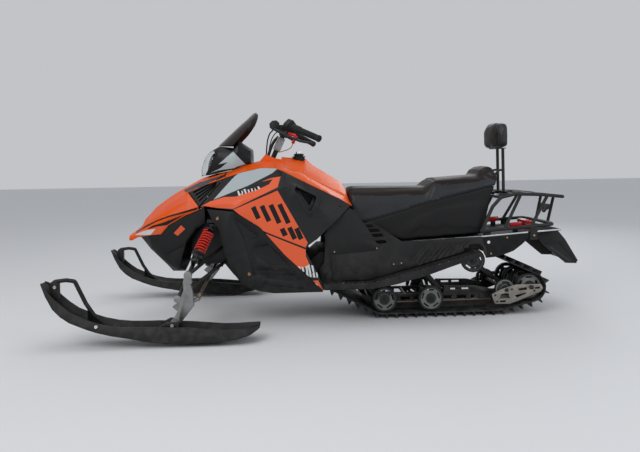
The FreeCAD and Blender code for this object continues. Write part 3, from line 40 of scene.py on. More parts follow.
# The camera stands about 3 m to the left of the sled at the height of the handlebar, level, turned a little
# to the rear and rolled by one degree. Its shift holds the horizon above the middle of the frame.
STAND_POINT = (0.190, 3.02812, 0.79208)
TURN = -0.0492
ROLL = 0.01666
FOCAL_PIXELS = 560.0
IMAGE_WIDTH = 640.0
HORIZON_ABOVE_MIDDLE = 61.4
forward = Vector((math.sin(TURN), -math.cos(TURN), 0.0))
level_right = forward.cross(Vector((0, 0, 1)))
right = level_right * math.cos(ROLL) - Vector((0, 0, 1)) * math.sin(ROLL)
upward = level_right * math.sin(ROLL) + Vector((0, 0, 1)) * math.cos(ROLL)
lens = bpy.data.cameras.new("camera")
lens.sensor_width = 36.0
lens.lens = FOCAL_PIXELS / IMAGE_WIDTH * lens.sensor_width
lens.shift_y = -HORIZON_ABOVE_MIDDLE / IMAGE_WIDTH
camera = bpy.data.objects.new("camera", lens)
scene.collection.objects.link(camera)
camera_turn = Matrix((right, upward, -forward)).transposed().to_4x4()
camera.matrix_world = Matrix.Translation(STAND_POINT) @ camera_turn
scene.camera = camera

# A plain pale studio: a wide floor and a soft overcast air, a large lamp above the camera's left shoulder,
# a weaker one from the right, one overhead and one behind that draws the edges.
scene.view_settings.view_transform = "Standard"
world = bpy.data.worlds.new("studio_air")
world.use_nodes = True
air = world.node_tree.nodes["Background"]
air.inputs["Color"].default_value = (0.90, 0.92, 0.95, 1)
air.inputs["Strength"].default_value = 0.60
scene.world = world
bpy.ops.mesh.primitive_plane_add(size=40, location=(0, 0, 0))
floor = bpy.context.object
floor.name = "floor"
floor_paint = bpy.data.materials.new("floor_paint")
floor_paint.use_nodes = True
floor_shader = floor_paint.node_tree.nodes["Principled BSDF"]
floor_shader.inputs["Base Color"].default_value = (0.66, 0.67, 0.69, 1)
floor_shader.inputs["Roughness"].default_value = 0.8
floor.data.materials.append(floor_paint)
# Lamps: name, place, aimed at, size, watts, colour.
LAMPS = (("key", (2.2, 3.4, 3.6), (0.1, 0, 0.5), 2.8, 80, (1.0, 0.98, 0.95)),
         ("fill", (-2.8, 3.0, 2.0), (-0.2, 0, 0.4), 2.6, 30, (0.96, 0.98, 1.0)),
         ("top", (0.0, 0.2, 3.6), (0.0, 0, 0.4), 3.2, 18, (1.0, 1.0, 1.0)),
         ("rim", (-1.6, -3.4, 2.6), (0, 0, 0.5), 2.4, 26, (1.0, 1.0, 1.0)))
for lamp_name, place, aim, size, watts, colour in LAMPS:
    lamp = bpy.data.lights.new(lamp_name, "AREA")
    lamp.shape = "DISK"
    lamp.size = size
    lamp.energy = watts
    lamp.color = colour
    stand = bpy.data.objects.new(lamp_name, lamp)
    stand.location = place
    stand.rotation_euler = (Vector(place) - Vector(aim)).to_track_quat("Z", "Y").to_euler()
    scene.collection.objects.link(stand)


# Hood: one thermoformed shell with a pointed nose, orange lacquer over the plastic, with salmon, black and
# white printed films along its flanks. Its edges are rounded by a millimetre where the mould ends.
def pick_only(piece):
    """Leaves one object selected and active."""
    for other in bpy.context.selected_objects:
        other.select_set(False)
    piece.select_set(True)
    bpy.context.view_layer.objects.active = piece


def dress(piece, *finishes):
    """Gives a piece its finishes, numbered from 0 in this order."""
    for finish in finishes:
        piece.data.materials.append(finish)


# Corners nearer than this, in metres, are one, and faces bent by less than this, in degrees, are flat.
MERGE_GAP = 0.00002
FLAT_ANGLE = 0.6


def carried_over(node, name, edge=0.8, steps=2, sharp=35.0, body="chassis"):
    """A merged copy of a rigid piece with its hard edges broken by a small radius."""
    piece = bpy.data.objects.new(name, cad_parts[node].data.copy())
    piece.data.materials.clear()
    scene.collection.objects.link(piece)
    pick_only(piece)
    bpy.ops.object.mode_set(mode="EDIT")
    bpy.ops.mesh.select_all(action="SELECT")
    bpy.ops.mesh.remove_doubles(threshold=MERGE_GAP)
    bpy.ops.mesh.dissolve_limited(angle_limit=math.radians(FLAT_ANGLE))
    bpy.ops.object.mode_set(mode="OBJECT")
    if edge:
        rounding = piece.modifiers.new("edge", "BEVEL")
        rounding.width = edge * mm
        rounding.segments = steps
        rounding.limit_method = "ANGLE"
        rounding.angle_limit = math.radians(sharp)
        rounding.use_clamp_overlap = True
        bpy.ops.object.modifier_apply(modifier="edge")
    bpy.ops.object.shade_smooth_by_angle(angle=math.radians(sharp))
    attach(piece, body)
    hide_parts(node)
    return piece


def new_finish(name, colour, roughness, metallic=0.0, shine=0.5):
    """A material with its shader's plain values set, and its nodes, for each finish to build on."""
    finish = bpy.data.materials.new(name)
    finish.use_nodes = True
    shader = finish.node_tree.nodes["Principled BSDF"]
    shader.inputs["Base Color"].default_value = (*colour, 1)
    shader.inputs["Roughness"].default_value = roughness
    shader.inputs["Metallic"].default_value = metallic
    shader.inputs["Specular IOR Level"].default_value = shine
    finish.diffuse_color = (*colour, 1)
    return finish, finish.node_tree, shader


def new_group(name, inputs, outputs):
    """A shader group with number sockets, its two end nodes, and object coordinates."""
    group = bpy.data.node_groups.new(name, "ShaderNodeTree")
    for way, sockets in (("INPUT", inputs), ("OUTPUT", outputs)):
        for socket in sockets:
            group.interface.new_socket(socket, in_out=way, socket_type="NodeSocketFloat")
    start = group.nodes.new("NodeGroupInput")
    end = group.nodes.new("NodeGroupOutput")
    return group, start, end, group.nodes.new("ShaderNodeTexCoord")


def make_speckle():
    """Group: a fine and a broad noise on object coordinates, for grain height and uneven gloss."""
    group, start, end, place = new_group("speckle", ("Fine", "Broad"), ("Grain", "Cloud"))
    for size, detail, out in (("Fine", 2.0, "Grain"), ("Broad", 5.0, "Cloud")):
        grain = group.nodes.new("ShaderNodeTexNoise")
        grain.inputs["Detail"].default_value = detail
        group.links.new(place.outputs["Object"], grain.inputs["Vector"])
        group.links.new(start.outputs[size], grain.inputs["Scale"])
        group.links.new(grain.outputs["Fac"], end.inputs[out])
    return group


def make_road_dust():
    """Group: a mask that is strong near the ground, fades by knee height, and is broken up by noise."""
    group, start, end, place = new_group("road_dust", ("Reach", "Amount"), ("Dust",))
    split = group.nodes.new("ShaderNodeSeparateXYZ")
    group.links.new(place.outputs["Object"], split.inputs["Vector"])
    fade = group.nodes.new("ShaderNodeMapRange")
    fade.inputs["From Min"].default_value = 0.02
    fade.inputs["To Min"].default_value = 1.0
    fade.inputs["To Max"].default_value = 0.0
    group.links.new(split.outputs["Z"], fade.inputs["Value"])
    group.links.new(start.outputs["Reach"], fade.inputs["From Max"])
    patches = group.nodes.new("ShaderNodeTexNoise")
    patches.inputs["Scale"].default_value = 26.0
    patches.inputs["Detail"].default_value = 6.0
    group.links.new(place.outputs["Object"], patches.inputs["Vector"])
    broken = group.nodes.new("ShaderNodeMapRange")
    broken.inputs["From Min"].default_value = 0.42
    broken.inputs["From Max"].default_value = 0.72
    group.links.new(patches.outputs["Fac"], broken.inputs["Value"])
    both = group.nodes.new("ShaderNodeMath")
    both.operation = "MULTIPLY"
    group.links.new(fade.outputs["Result"], both.inputs[0])
    group.links.new(broken.outputs["Result"], both.inputs[1])
    scaled = group.nodes.new("ShaderNodeMath")
    scaled.operation = "MULTIPLY"
    group.links.new(both.outputs["Value"], scaled.inputs[0])
    group.links.new(start.outputs["Amount"], scaled.inputs[1])
    group.links.new(scaled.outputs["Value"], end.inputs["Dust"])
    return group


speckle = make_speckle()
road_dust = make_road_dust()
# Dust reaches to this height and the grain's bumps are this high, in metres. The cloud noise is used between
# these two values.
DUST_COLOUR = (0.11, 0.105, 0.10)
DUST_REACH = 0.45
GRAIN_HEIGHT = 0.0006
CLOUD_LOW, CLOUD_HIGH = 0.3, 0.7


def add_speckle(tree, shader, fine, broad, bump, low, high, tints, dust=0.0):
    """Places the speckle group in a material: grain to its bump, cloud to its gloss and tint, then dust."""
    node = tree.nodes.new("ShaderNodeGroup")
    node.node_tree = speckle
    node.inputs["Fine"].default_value = fine
    node.inputs["Broad"].default_value = broad
    height = tree.nodes.new("ShaderNodeBump")
    height.inputs["Strength"].default_value = bump
    height.inputs["Distance"].default_value = GRAIN_HEIGHT
    tree.links.new(node.outputs["Grain"], height.inputs["Height"])
    tree.links.new(height.outputs["Normal"], shader.inputs["Normal"])
    gloss = tree.nodes.new("ShaderNodeMapRange")
    gloss.inputs["From Min"].default_value = CLOUD_LOW
    gloss.inputs["From Max"].default_value = CLOUD_HIGH
    gloss.inputs["To Min"].default_value = low
    gloss.inputs["To Max"].default_value = high
    tree.links.new(node.outputs["Cloud"], gloss.inputs["Value"])
    tree.links.new(gloss.outputs["Result"], shader.inputs["Roughness"])
    ramp = tree.nodes.new("ShaderNodeValToRGB")
    for stop, position, tint in zip(ramp.color_ramp.elements, (CLOUD_LOW, CLOUD_HIGH), tints):
        stop.position = position
        stop.color = (*tint, 1)
    tree.links.new(node.outputs["Cloud"], ramp.inputs["Fac"])
    if not dust:
        tree.links.new(ramp.outputs["Color"], shader.inputs["Base Color"])
        return
    soil = tree.nodes.new("ShaderNodeGroup")
    soil.node_tree = road_dust
    soil.inputs["Reach"].default_value = DUST_REACH
    soil.inputs["Amount"].default_value = dust
    cover = tree.nodes.new("ShaderNodeMix")
    cover.data_type = "RGBA"
    cover.inputs["B"].default_value = (*DUST_COLOUR, 1)
    tree.links.new(soil.outputs["Dust"], cover.inputs["Factor"])
    tree.links.new(ramp.outputs["Color"], cover.inputs["A"])
    tree.links.new(cover.outputs["Result"], shader.inputs["Base Color"])


def lacquer(name, colour, roughness=0.26, coat=0.3):
    """Coloured plastic under a clear coat, with a trace of orange peel."""
    finish, tree, shader = new_finish(name, colour, roughness, shine=0.2)
    shader.inputs["Coat Weight"].default_value = coat
    shader.inputs["Coat Roughness"].default_value = 0.08
    darker = tuple(c * 0.92 for c in colour)
    add_speckle(tree, shader, 320.0, 3.0, 0.03, roughness * 0.8, roughness * 1.3, (darker, colour))
    return finish


def moulded(name, colour, roughness=0.55, grain=0.35, fine=900.0, dust=0.25, shine=0.3):
    """Moulded plastic with a leather-fine grain, slightly uneven gloss and dust low down."""
    finish, tree, shader = new_finish(name, colour, roughness, shine=shine)
    lighter = tuple(min(1.0, c * 1.4 + 0.001) for c in colour)
    add_speckle(tree, shader, fine, 4.0, grain, roughness * 0.85, min(1.0, roughness * 1.2),
                (colour, lighter), dust)
    return finish


def metal(name, colour, roughness, fine=260.0, broad=18.0, dust=0.0):
    """Bare or plated metal with a fine tooling grain and cloudy gloss."""
    finish, tree, shader = new_finish(name, colour, roughness, 1.0)
    duller = tuple(c * 0.82 for c in colour)
    add_speckle(tree, shader, fine, broad, 0.08, roughness * 0.8, roughness * 1.3, (duller, colour), dust)
    return finish


def inside(outline, x, z):
    """True where the point is within the outline."""
    hit = False
    for (x0, z0), (x1, z1) in zip(outline, outline[1:] + outline[:1]):
        if (z0 > z) != (z1 > z) and x < (x1 - x0) * (z - z0) / (z1 - z0) + x0:
            hit = not hit
    return hit


# A face is an outer one when it looks to the side or up by more than this share.
FACING = 0.12


def cut_outline(piece, outline):
    """Cuts an outline of x and z, in mm, through a shell's outer faces and lists the faces within it."""
    edge = [(x * mm, z * mm) for x, z in outline]
    low_x, high_x = min(p[0] for p in edge), max(p[0] for p in edge)
    low_z, high_z = min(p[1] for p in edge), max(p[1] for p in edge)
    corners = piece.data.vertices
    pick_only(piece)
    for face in piece.data.polygons:
        xs = [corners[i].co.x for i in face.vertices]
        zs = [corners[i].co.z for i in face.vertices]
        beside = max(xs) < low_x or min(xs) > high_x
        face.select = not (beside or max(zs) < low_z or min(zs) > high_z)
    bpy.ops.object.mode_set(mode="EDIT")
    bpy.ops.mesh.select_mode(type="FACE")
    bpy.ops.mesh.hide(unselected=True)
    for (x0, z0), (x1, z1) in zip(edge, edge[1:] + edge[:1]):
        bpy.ops.mesh.select_all(action="SELECT")
        bpy.ops.mesh.bisect(plane_co=(x0, 0, z0), plane_no=(z1 - z0, 0, x0 - x1))
    bpy.ops.mesh.reveal(select=False)
    bpy.ops.object.mode_set(mode="OBJECT")
    within = []
    for face in piece.data.polygons:
        sideways = abs(face.normal.y) * (1 if face.normal.y * face.center.y > 0 else -1)
        outward = sideways + max(0.0, face.normal.z)
        if outward > FACING and inside(edge, face.center.x, face.center.z):
            within.append(face.index)
    return within


def lay_film(piece, outline, number):
    """Gives the outer faces within an outline their own finish, as a printed film does."""
    for index in cut_outline(piece, outline):
        piece.data.polygons[index].material_index = number


def press(piece, outline, depth, slope, sharp=26.0):
    """Sinks the wall within an outline by a depth in mm, or raises it, with a sloped edge round it."""
    within = set(cut_outline(piece, outline))
    if not within:
        return
    pick_only(piece)
    for face in piece.data.polygons:
        face.select = face.index in within
    bpy.ops.object.mode_set(mode="EDIT")
    bpy.ops.mesh.select_mode(type="FACE")
    bpy.ops.mesh.inset(thickness=slope * mm, depth=-depth * mm)
    bpy.ops.object.mode_set(mode="OBJECT")
    bpy.ops.object.shade_smooth_by_angle(angle=math.radians(sharp))


def score(piece, line, width=6.0, depth=1.6, sharp=26.0):
    """Presses a narrow groove along a line of x and z in mm."""
    left, right = [], []
    for k, (x, z) in enumerate(line):
        run = Vector(line[min(k + 1, len(line) - 1)]) - Vector(line[max(k - 1, 0)])
        across = run.normalized().orthogonal() * width / 2
        left.append((x + across.x, z + across.y))
        right.append((x - across.x, z - across.y))
    press(piece, left + right[::-1], depth, width * 0.3, sharp)


# An inner face looks to the middle plane or, weighted by the depth in metres, down, by more than this.
CORE_DEPTH = 0.15
INWARD = -0.02


def bare_inside(piece, number):
    """Leaves the inner faces of a painted shell in bare black plastic."""
    for face in piece.data.polygons:
        if face.normal.y * face.center.y + face.normal.z * CORE_DEPTH < INWARD:
            face.material_index = number


hood = carried_over("hood", "hood_shell", edge=1.2, sharp=26.0)
orange = lacquer("orange_lacquer", (0.74, 0.088, 0.001), 0.36, 0.07)
film_salmon = lacquer("salmon_film", (0.72, 0.112, 0.040), 0.40, 0.08)
film_black = lacquer("black_film", (0.008, 0.008, 0.009), 0.40, 0.08)
film_white = lacquer("white_film", (0.60, 0.61, 0.62), 0.38, 0.08)
film_slate = lacquer("slate_film", (0.040, 0.050, 0.058), 0.40, 0.08)
black_mould = moulded("black_mould", (0.0062, 0.0064, 0.0070), 0.5, shine=0.32)
dress(hood, orange, film_salmon, film_black, film_white, film_slate, black_mould)
bare_inside(hood, 5)
# Films on the hood's flanks: finish number and outline, x and z in mm.
HOOD_FILMS = (
    (1, ((750, 666), (727, 654), (700, 625), (708, 620), (759, 607), (911, 522), (932, 518), (927, 549),
         (873, 594), (811, 635))),
    (1, ((815, 551), (714, 617), (694, 620), (662, 592), (738, 573))),
    (2, ((662, 590), (668, 578), (738, 560), (812, 541), (877, 518), (947, 483), (992, 457), (1001, 462),
         (941, 496), (866, 531), (813, 549), (738, 570))),
    (2, ((727, 557), (837, 493), (895, 459), (867, 449), (821, 502), (877, 495), (927, 479), (901, 497),
         (836, 517))),
    (1, ((821, 502), (846, 470), (867, 449), (908, 453), (881, 484), (877, 494))),
    (3, ((883, 484), (910, 453), (994, 448), (988, 454), (936, 475))),
    (4, ((748, 674), (711, 690), (663, 713), (586, 735), (540, 748), (566, 734), (581, 722), (636, 697),
         (673, 685), (725, 661))),
    (2, ((560, 741), (532, 756), (520, 756), (526, 742), (581, 718))))
for number, outline in HOOD_FILMS:
    lay_film(hood, outline, number)

# Tank cover: the orange shell between the hood and the seat, over the fuel tank, with a raised collar round
# the steering post, and the filler cap, black with a bright dome, in a round hole.
tank_cover = carried_over("tank_cover", "tank_cover_shell", edge=1.2, sharp=26.0)
dress(tank_cover, orange, black_mould)
bare_inside(tank_cover, 1)
TANK_CREASE = ((270, 808), (130, 745), (106, 726), (-99, 613))
score(tank_cover, TANK_CREASE, 4.0, 0.9)
bright_cap = metal("bright_cap_metal", (0.80, 0.81, 0.82), 0.22)
# The bright dome starts at this height, in metres.
DOME_FROM = 0.8535
fuel_cap = carried_over("fuel_cap", "fuel_cap_turned", edge=2.0, steps=3)
dress(fuel_cap, black_mould, bright_cap)
for face in fuel_cap.data.polygons:
    if face.center.z > DOME_FROM:
        face.material_index = 1


# Side panels: black moulded doors over the engine, one each side, with printed films in salmon, silver and
# black, a triangular vent with a raised rim, and a screw. Slanted bars fill the broad salmon field.
def joined(parts, name, finish, body):
    """Makes one piece of like parts, with one finish, that rides on a body."""
    pick_only(parts[0])
    for part in parts[1:]:
        part.select_set(True)
    if len(parts) > 1:
        bpy.ops.object.join()
    whole = parts[0]
    whole.name = name
    dress(whole, finish)
    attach(whole, body)


# Surfaces for the screws are felt for from this far out to the side, in metres.
SIDE_REACH = 0.62


def fasten(name, on, places, radius, finish, body="chassis", sides=(1, -1)):
    """Socket screws with domed heads, each seated square on the surface that it is driven into."""
    bpy.context.view_layer.update()
    bpy.ops.object.select_all(action="DESELECT")
    bpy.ops.mesh.primitive_cylinder_add(vertices=18, radius=radius * mm, depth=radius * 1.1 * mm)
    first = bpy.context.object
    bpy.ops.object.mode_set(mode="EDIT")
    bpy.ops.mesh.select_mode(type="FACE")
    bpy.ops.mesh.select_all(action="DESELECT")
    bpy.ops.object.mode_set(mode="OBJECT")
    for face in first.data.polygons:
        face.select = face.normal.z > 0.9
    bpy.ops.object.mode_set(mode="EDIT")
    bpy.ops.mesh.inset(thickness=radius * 0.5 * mm)
    bpy.ops.mesh.extrude_region_move(TRANSFORM_OT_translate={"value": (0, 0, -radius * 0.35 * mm)})
    bpy.ops.object.mode_set(mode="OBJECT")
    rounding = first.modifiers.new("dome", "BEVEL")
    rounding.width = radius * 0.3 * mm
    rounding.segments = 3
    rounding.limit_method = "ANGLE"
    rounding.angle_limit = math.radians(60)
    bpy.ops.object.modifier_apply(modifier="dome")
    bpy.ops.object.shade_smooth_by_angle(angle=math.radians(40))
    copies = []
    for x, z in places:
        for side in sides:
            hit, at, normal, index = on.ray_cast((x * mm, side * SIDE_REACH, z * mm), (0, -side, 0))
            if hit:
                screw = bpy.data.objects.new(name, first.data.copy())
                turn = normal.to_track_quat("Z", "Y").to_matrix().to_4x4()
                screw.data.transform(Matrix.Translation(at) @ turn)
                scene.collection.objects.link(screw)
                copies.append(screw)
    bpy.data.objects.remove(first)
    joined(copies, name, finish, body)


film_silver = lacquer("silver_film", (0.37, 0.42, 0.44), 0.38, 0.08)
satin_black = moulded("satin_black_paint", (0.0075, 0.0075, 0.0085), 0.42, 0.08, 500.0, shine=0.35)
bright_screw = metal("bright_screws", (0.55, 0.53, 0.50), 0.32)
gold_screw = metal("gold_plated_screws", (0.50, 0.36, 0.17), 0.34)
# Films on the doors: finish number and outline, x and z in mm.
DOOR_FILMS = (
    (3, ((620, 600), (583, 627), (413, 693), (308, 729), (253, 739), (232, 730), (111, 695), (239, 765),
         (269, 782), (330, 786), (455, 768), (540, 742), (585, 690))),
    (2, ((583, 627), (490, 731), (451, 745), (481, 737), (456, 762), (383, 778), (311, 781), (264, 776),
         (294, 752), (413, 693))),
    (1, ((710, 560), (600, 619), (471, 657), (378, 701), (297, 729), (232, 739), (250, 736), (264, 685),
         (480, 584), (600, 590))),
    (3, ((532, 640), (460, 676), (355, 709), (288, 724), (305, 700), (360, 675), (470, 642))),
    (1, ((480, 580), (265, 669), (121, 410), (133, 388), (379, 493))),
    (1, ((377, 484), (135, 379), (131, 344), (115, 306), (160, 282), (211, 298), (311, 397))),
    (1, ((120, 227), (74, 226), (49, 174), (71, 175))))
# White slanted bars: finish, first x, first z, number, step x, step z, width, height, slant.
BAR_ROWS = ((4, 464, 668, 7, -16.5, 3.4, 8, 17, 6), (4, 90, 298, 6, 16, 0, 9.5, 26, 4),
            (4, 86, 266, 5, 16, 0, 9.5, 26, 4))
# Black bars in two rows on the broad salmon field: upper front corner x, z, and length.
FIELD_BARS = ((396, 588, 58), (353, 592, 76), (310, 596, 90), (267, 598, 94),
              (256, 480, 36), (221, 484, 58), (187, 478, 54))
door_outlines = list(DOOR_FILMS)
for number, x, z, count, step_x, step_z, wide, high, slant in BAR_ROWS:
    for k in range(count):
        a, b = x + step_x * k, z + step_z * k
        bar = ((a, b), (a - wide, b), (a - wide - slant, b - high), (a - slant, b - high))
        door_outlines.append((number, bar))
# A field bar's width as a run back and up, and how far it leans back for each mm down.
BAR_BACK, BAR_UP, BAR_LEAN = 22, 9, 0.45
for x, z, long in FIELD_BARS:
    lean = BAR_LEAN * long
    bar = ((x, z), (x - BAR_BACK, z + BAR_UP), (x - BAR_BACK - lean, z + BAR_UP - long), (x - lean, z - long))
    door_outlines.append((3, bar))
VENT_RING = ((206, 692), (190, 702), (55, 634), (47, 610), (98, 536), (121, 540))
doors = []
for side in ("left", "right"):
    door = carried_over("side_panel_" + side, "engine_door_" + side, edge=1.2, sharp=26.0)
    dress(door, black_mould, film_salmon, film_silver, film_black, film_white)
    for number, outline in door_outlines:
        lay_film(door, outline, number)
    press(door, VENT_RING, -1.8, 2.0)
    doors.append(door)
for door, side, sign in zip(doors, ("left", "right"), (1, -1)):
    fasten("door_screws_" + side, door, ((-50, 583),), 6.5, satin_black, sides=(sign,))

# Louvre grilles: black inserts with slanted slots between the hood and the doors. Behind them, behind the
# doors' vents, behind the slots of the side covers and in the gap between the hood's lower edge and the belly
# pan sit near-black sheets with a coarse grain. They are painted shade that stands in for the dark engine bay
# behind these openings.
grilles = carried_over("louvre_grilles", "louvre_inserts", edge=0.8)
dress(grilles, black_mould)
# foam is the finish of the painted-shade sheets: near-black and matt, with a coarse grain.
foam = moulded("painted_shade_sheet_black", (0.004, 0.004, 0.004), 0.9, 0.9, 260.0, dust=0.0, shine=0.1)
# Corners of the painted-shade sheets on the left side: x, y, z in mm.
PAINTED_SHADE_SHEETS = (((704, 176, 660), (656, 204, 602), (566, 182, 700), (548, 176, 728)),
           ((168, 236, 672), (62, 196, 630), (72, 208, 606), (108, 238, 560)),
           ((-108, 208, 530), (-262, 208, 440), (-285, 209, 380), (-120, 208, 400)),
           ((500, 226, 608), (500, 226, 562), (604, 214, 562), (604, 214, 608)))
SHADE_SHEET_WALL = 0.003
shade_sheets = []
for corners in PAINTED_SHADE_SHEETS:
    for side in (1, -1):
        bpy.ops.object.select_all(action="DESELECT")
        bpy.ops.mesh.primitive_plane_add(size=1.0)
        sheet = bpy.context.object
        for corner, (x, y, z) in zip((0, 1, 3, 2), corners):
            sheet.data.vertices[corner].co = Vector((x, y * side, z)) * mm
        bpy.ops.object.mode_set(mode="EDIT")
        bpy.ops.mesh.subdivide(number_cuts=5, smoothness=0.4)
        bpy.ops.mesh.normals_make_consistent(inside=False)
        bpy.ops.object.mode_set(mode="OBJECT")
        wall = sheet.modifiers.new("wall", "SOLIDIFY")
        wall.thickness = SHADE_SHEET_WALL
        wall.offset = 0.0
        bpy.ops.object.modifier_apply(modifier="wall")
        shade_sheets.append(sheet)
# The painted-shade sheets, joined into one piece.
joined(shade_sheets, "vent_painted_shade_sheets", foam, "chassis")

# Nose pan and belly pan: black moulded bowls under the nose and round the engine bay, screwed to the frame.
# The nose pan carries a bordered salmon film, and the belly pan has pressed fields and a seam line.
nose_pan = carried_over("nose_pan", "nose_bowl", edge=1.2, sharp=26.0)
dress(nose_pan, black_mould, film_salmon, film_black)
# Nose reflector: its black border, and the salmon film on that.
lay_film(nose_pan, ((794, 467), (751, 510), (724, 482), (770, 438)), 2)
lay_film(nose_pan, ((787, 464), (751, 501), (732, 481), (771, 446)), 1)
score(nose_pan, ((818, 357), (745, 393)))
belly_pan = carried_over("belly_pan", "belly_tray", edge=1.2, sharp=30.0)
dress(belly_pan, black_mould)
# Pressed fields of the belly pan: outlines of x and z in mm.
BELLY_FIELDS = (((477, 538), (361, 444), (424, 432)),
                ((389, 389), (316, 409), (210, 294), (312, 301), (363, 334)),
                ((379, 283), (190, 276), (170, 215), (341, 237)))
for field in BELLY_FIELDS:
    press(belly_pan, field, 3.2, 2.4, 30.0)
score(belly_pan, ((497, 560), (430, 425), (403, 310), (385, 225)), 5.0, 1.6, 30.0)
copper_screw = metal("copper_coloured_screws", (0.42, 0.25, 0.15), 0.36)
fasten("belly_screws", belly_pan, ((410, 262), (560, 536)), 8.0, copper_screw)

# Headlight pod: a glossy black housing on the hood with a silver film, a dark chromed reflector in its front
# and a clear hollow lens over that.
black_gloss = lacquer("black_gloss_mould", (0.006, 0.006, 0.007), 0.34, 0.10)
pod = carried_over("headlight_pod", "lamp_housing", edge=2.0, sharp=26.0)
dress(pod, black_gloss, film_silver)
POD_FILM = ((494, 867), (433, 801), (472, 783), (561, 772), (618, 757), (560, 782), (523, 812), (569, 803))
lay_film(pod, POD_FILM, 1)
clear, _, clear_shader = new_finish("clear_lens", (0.93, 0.95, 0.96), 0.03)
clear_shader.inputs["Transmission Weight"].default_value = 1.0
clear_shader.inputs["IOR"].default_value = 1.1
lamp_lens = carried_over("headlight_lens", "lamp_lens", edge=0, sharp=26.0)
chrome = lacquer("chromed_reflector", (0.16, 0.15, 0.15), 0.22, 0.3)
chrome.node_tree.nodes["Principled BSDF"].inputs["Metallic"].default_value = 0.9
reflector = bpy.data.objects.new("lamp_reflector", lamp_lens.data.copy())
scene.collection.objects.link(reflector)
reflector.data.materials.clear()
# The bowl is a copy of the lens, drawn in towards its rear by these shares of length, width and height.
REAR_OF_LENS = Vector((0.600, 0, 0.806))
BOWL_SHARE = Vector((0.55, 0.86, 0.80))
for corner in reflector.data.vertices:
    corner.co = REAR_OF_LENS + (corner.co - REAR_OF_LENS) * BOWL_SHARE
pick_only(reflector)
bowl = reflector.modifiers.new("bowl", "SUBSURF")
bowl.levels = 2
bowl.render_levels = 2
bpy.ops.object.modifier_apply(modifier="bowl")
bpy.ops.object.shade_smooth()
dress(reflector, chrome)
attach(reflector, "chassis")
LENS_WALL = 0.003
hollow = lamp_lens.modifiers.new("wall", "SOLIDIFY")
hollow.thickness = LENS_WALL
hollow.offset = -1.0
pick_only(lamp_lens)
bpy.ops.object.modifier_apply(modifier="wall")
bpy.ops.object.shade_smooth_by_angle(angle=math.radians(26))
dress(lamp_lens, clear)

# Windshield: a low screen of smoke-brown polycarbonate, blown to a curve, with its foot on the headlight pod.
# It is so dark that little shows through it.
smoke, _, smoke_shader = new_finish("smoke_screen", (0.016, 0.009, 0.008), 0.12)
smoke_shader.inputs["Transmission Weight"].default_value = 0.22
smoke_shader.inputs["IOR"].default_value = 1.3
screen = carried_over("windshield", "windshield_blown", edge=0, sharp=30.0)
dress(screen, smoke)

# Steering: a machined riser block round the post, a black bar, rubber grips with ribs, the two controls, the
# cables in their black sheaths down to the collar, and the red safety cord.
aluminium = metal("machined_aluminium", (0.36, 0.36, 0.355), 0.42, dust=0.6)
rubber = moulded("black_rubber", (0.0085, 0.0085, 0.0085), 0.70, 0.5, 700.0, dust=0.4)
sheath = moulded("cable_sheath", (0.010, 0.010, 0.011), 0.42, 0.15, 500.0)
cord_red = lacquer("cord_red_plastic", (0.62, 0.012, 0.010), 0.35)
# Node, new name, finish, slot, edge radius in mm.
CONTROLS = (("steering_riser", "riser_post", satin_black, "aluminium", 1.0),
            ("handlebar", "bar_tube", satin_black, "black_metal", 0.0),
            ("grips", "bar_grips", rubber, "rubber", 1.5),
            ("brake_lever", "brake_master", satin_black, "black_metal", 1.5),
            ("throttle_lever", "throttle_block", black_mould, "black_plastic", 1.5),
            ("control_cables", "sheathed_cables", sheath, "rubber", 0.0),
            ("stop_lanyard", "safety_cord", cord_red, "lanyard_red", 0.0))
for node, name, finish, slot, edge in CONTROLS:
    piece = carried_over(node, name, edge=edge, steps=3, body="handlebar")
    dress(piece, finish)
# The riser block: width, depth and height in metres, and how far its middle is below the post's top.
BLOCK = (0.036, 0.040, 0.072)
BLOCK_DROP = 0.062
POST_TOP = Vector((0.234, 0, 0.962))
post_up = Vector((-48, 0, 104)).normalized()
post_turn = post_up.to_track_quat("Z", "Y").to_matrix().to_4x4()
bpy.ops.object.select_all(action="DESELECT")
bpy.ops.mesh.primitive_cube_add(size=1.0)
riser = bpy.context.object
riser.name = "riser_block"
riser.data.transform(Matrix.Diagonal((*BLOCK, 1)))
bpy.ops.object.mode_set(mode="EDIT")
bpy.ops.mesh.select_mode(type="FACE")
bpy.ops.mesh.select_all(action="DESELECT")
bpy.ops.object.mode_set(mode="OBJECT")
for face in riser.data.polygons:
    face.select = abs(face.normal.z) < 0.5
bpy.ops.object.mode_set(mode="EDIT")
bpy.ops.mesh.inset(thickness=0.007, use_individual=True)
bpy.ops.mesh.inset(thickness=0.001, depth=-0.004, use_individual=True)
bpy.ops.object.mode_set(mode="OBJECT")
rounding = riser.modifiers.new("edge", "BEVEL")
rounding.width = 0.0012
rounding.segments = 2
bpy.ops.object.modifier_apply(modifier="edge")
riser.data.transform(Matrix.Translation(POST_TOP - post_up * BLOCK_DROP) @ post_turn)
dress(riser, aluminium)
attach(riser, "handlebar")
# Grip ribs: how many, the first one's distance from the bar's bend, their step and radii, in mm.
RIBS = 13
RIB_FROM = 104.0
RIB_STEP = 8.4
RING_RADIUS = 14.6
WIRE_RADIUS = 1.5
ribs = []
for side in (1, -1):
    bend = Vector((0.213, side * 0.200, 0.995))
    along = (Vector((0.062, side * 0.345, 0.917)) - bend).normalized()
    turn = along.to_track_quat("Z", "Y").to_matrix().to_4x4()
    for k in range(RIBS):
        bpy.ops.object.select_all(action="DESELECT")
        bpy.ops.mesh.primitive_torus_add(major_segments=24, minor_segments=6, major_radius=RING_RADIUS * mm,
                                         minor_radius=WIRE_RADIUS * mm)
        rib = bpy.context.object
        rib.data.transform(Matrix.Translation(bend + along * (RIB_FROM + RIB_STEP * k) * mm) @ turn)
        ribs.append(rib)
joined(ribs, "grip_ribs", rubber, "handlebar")
bpy.ops.object.shade_smooth_by_angle(angle=math.radians(60))

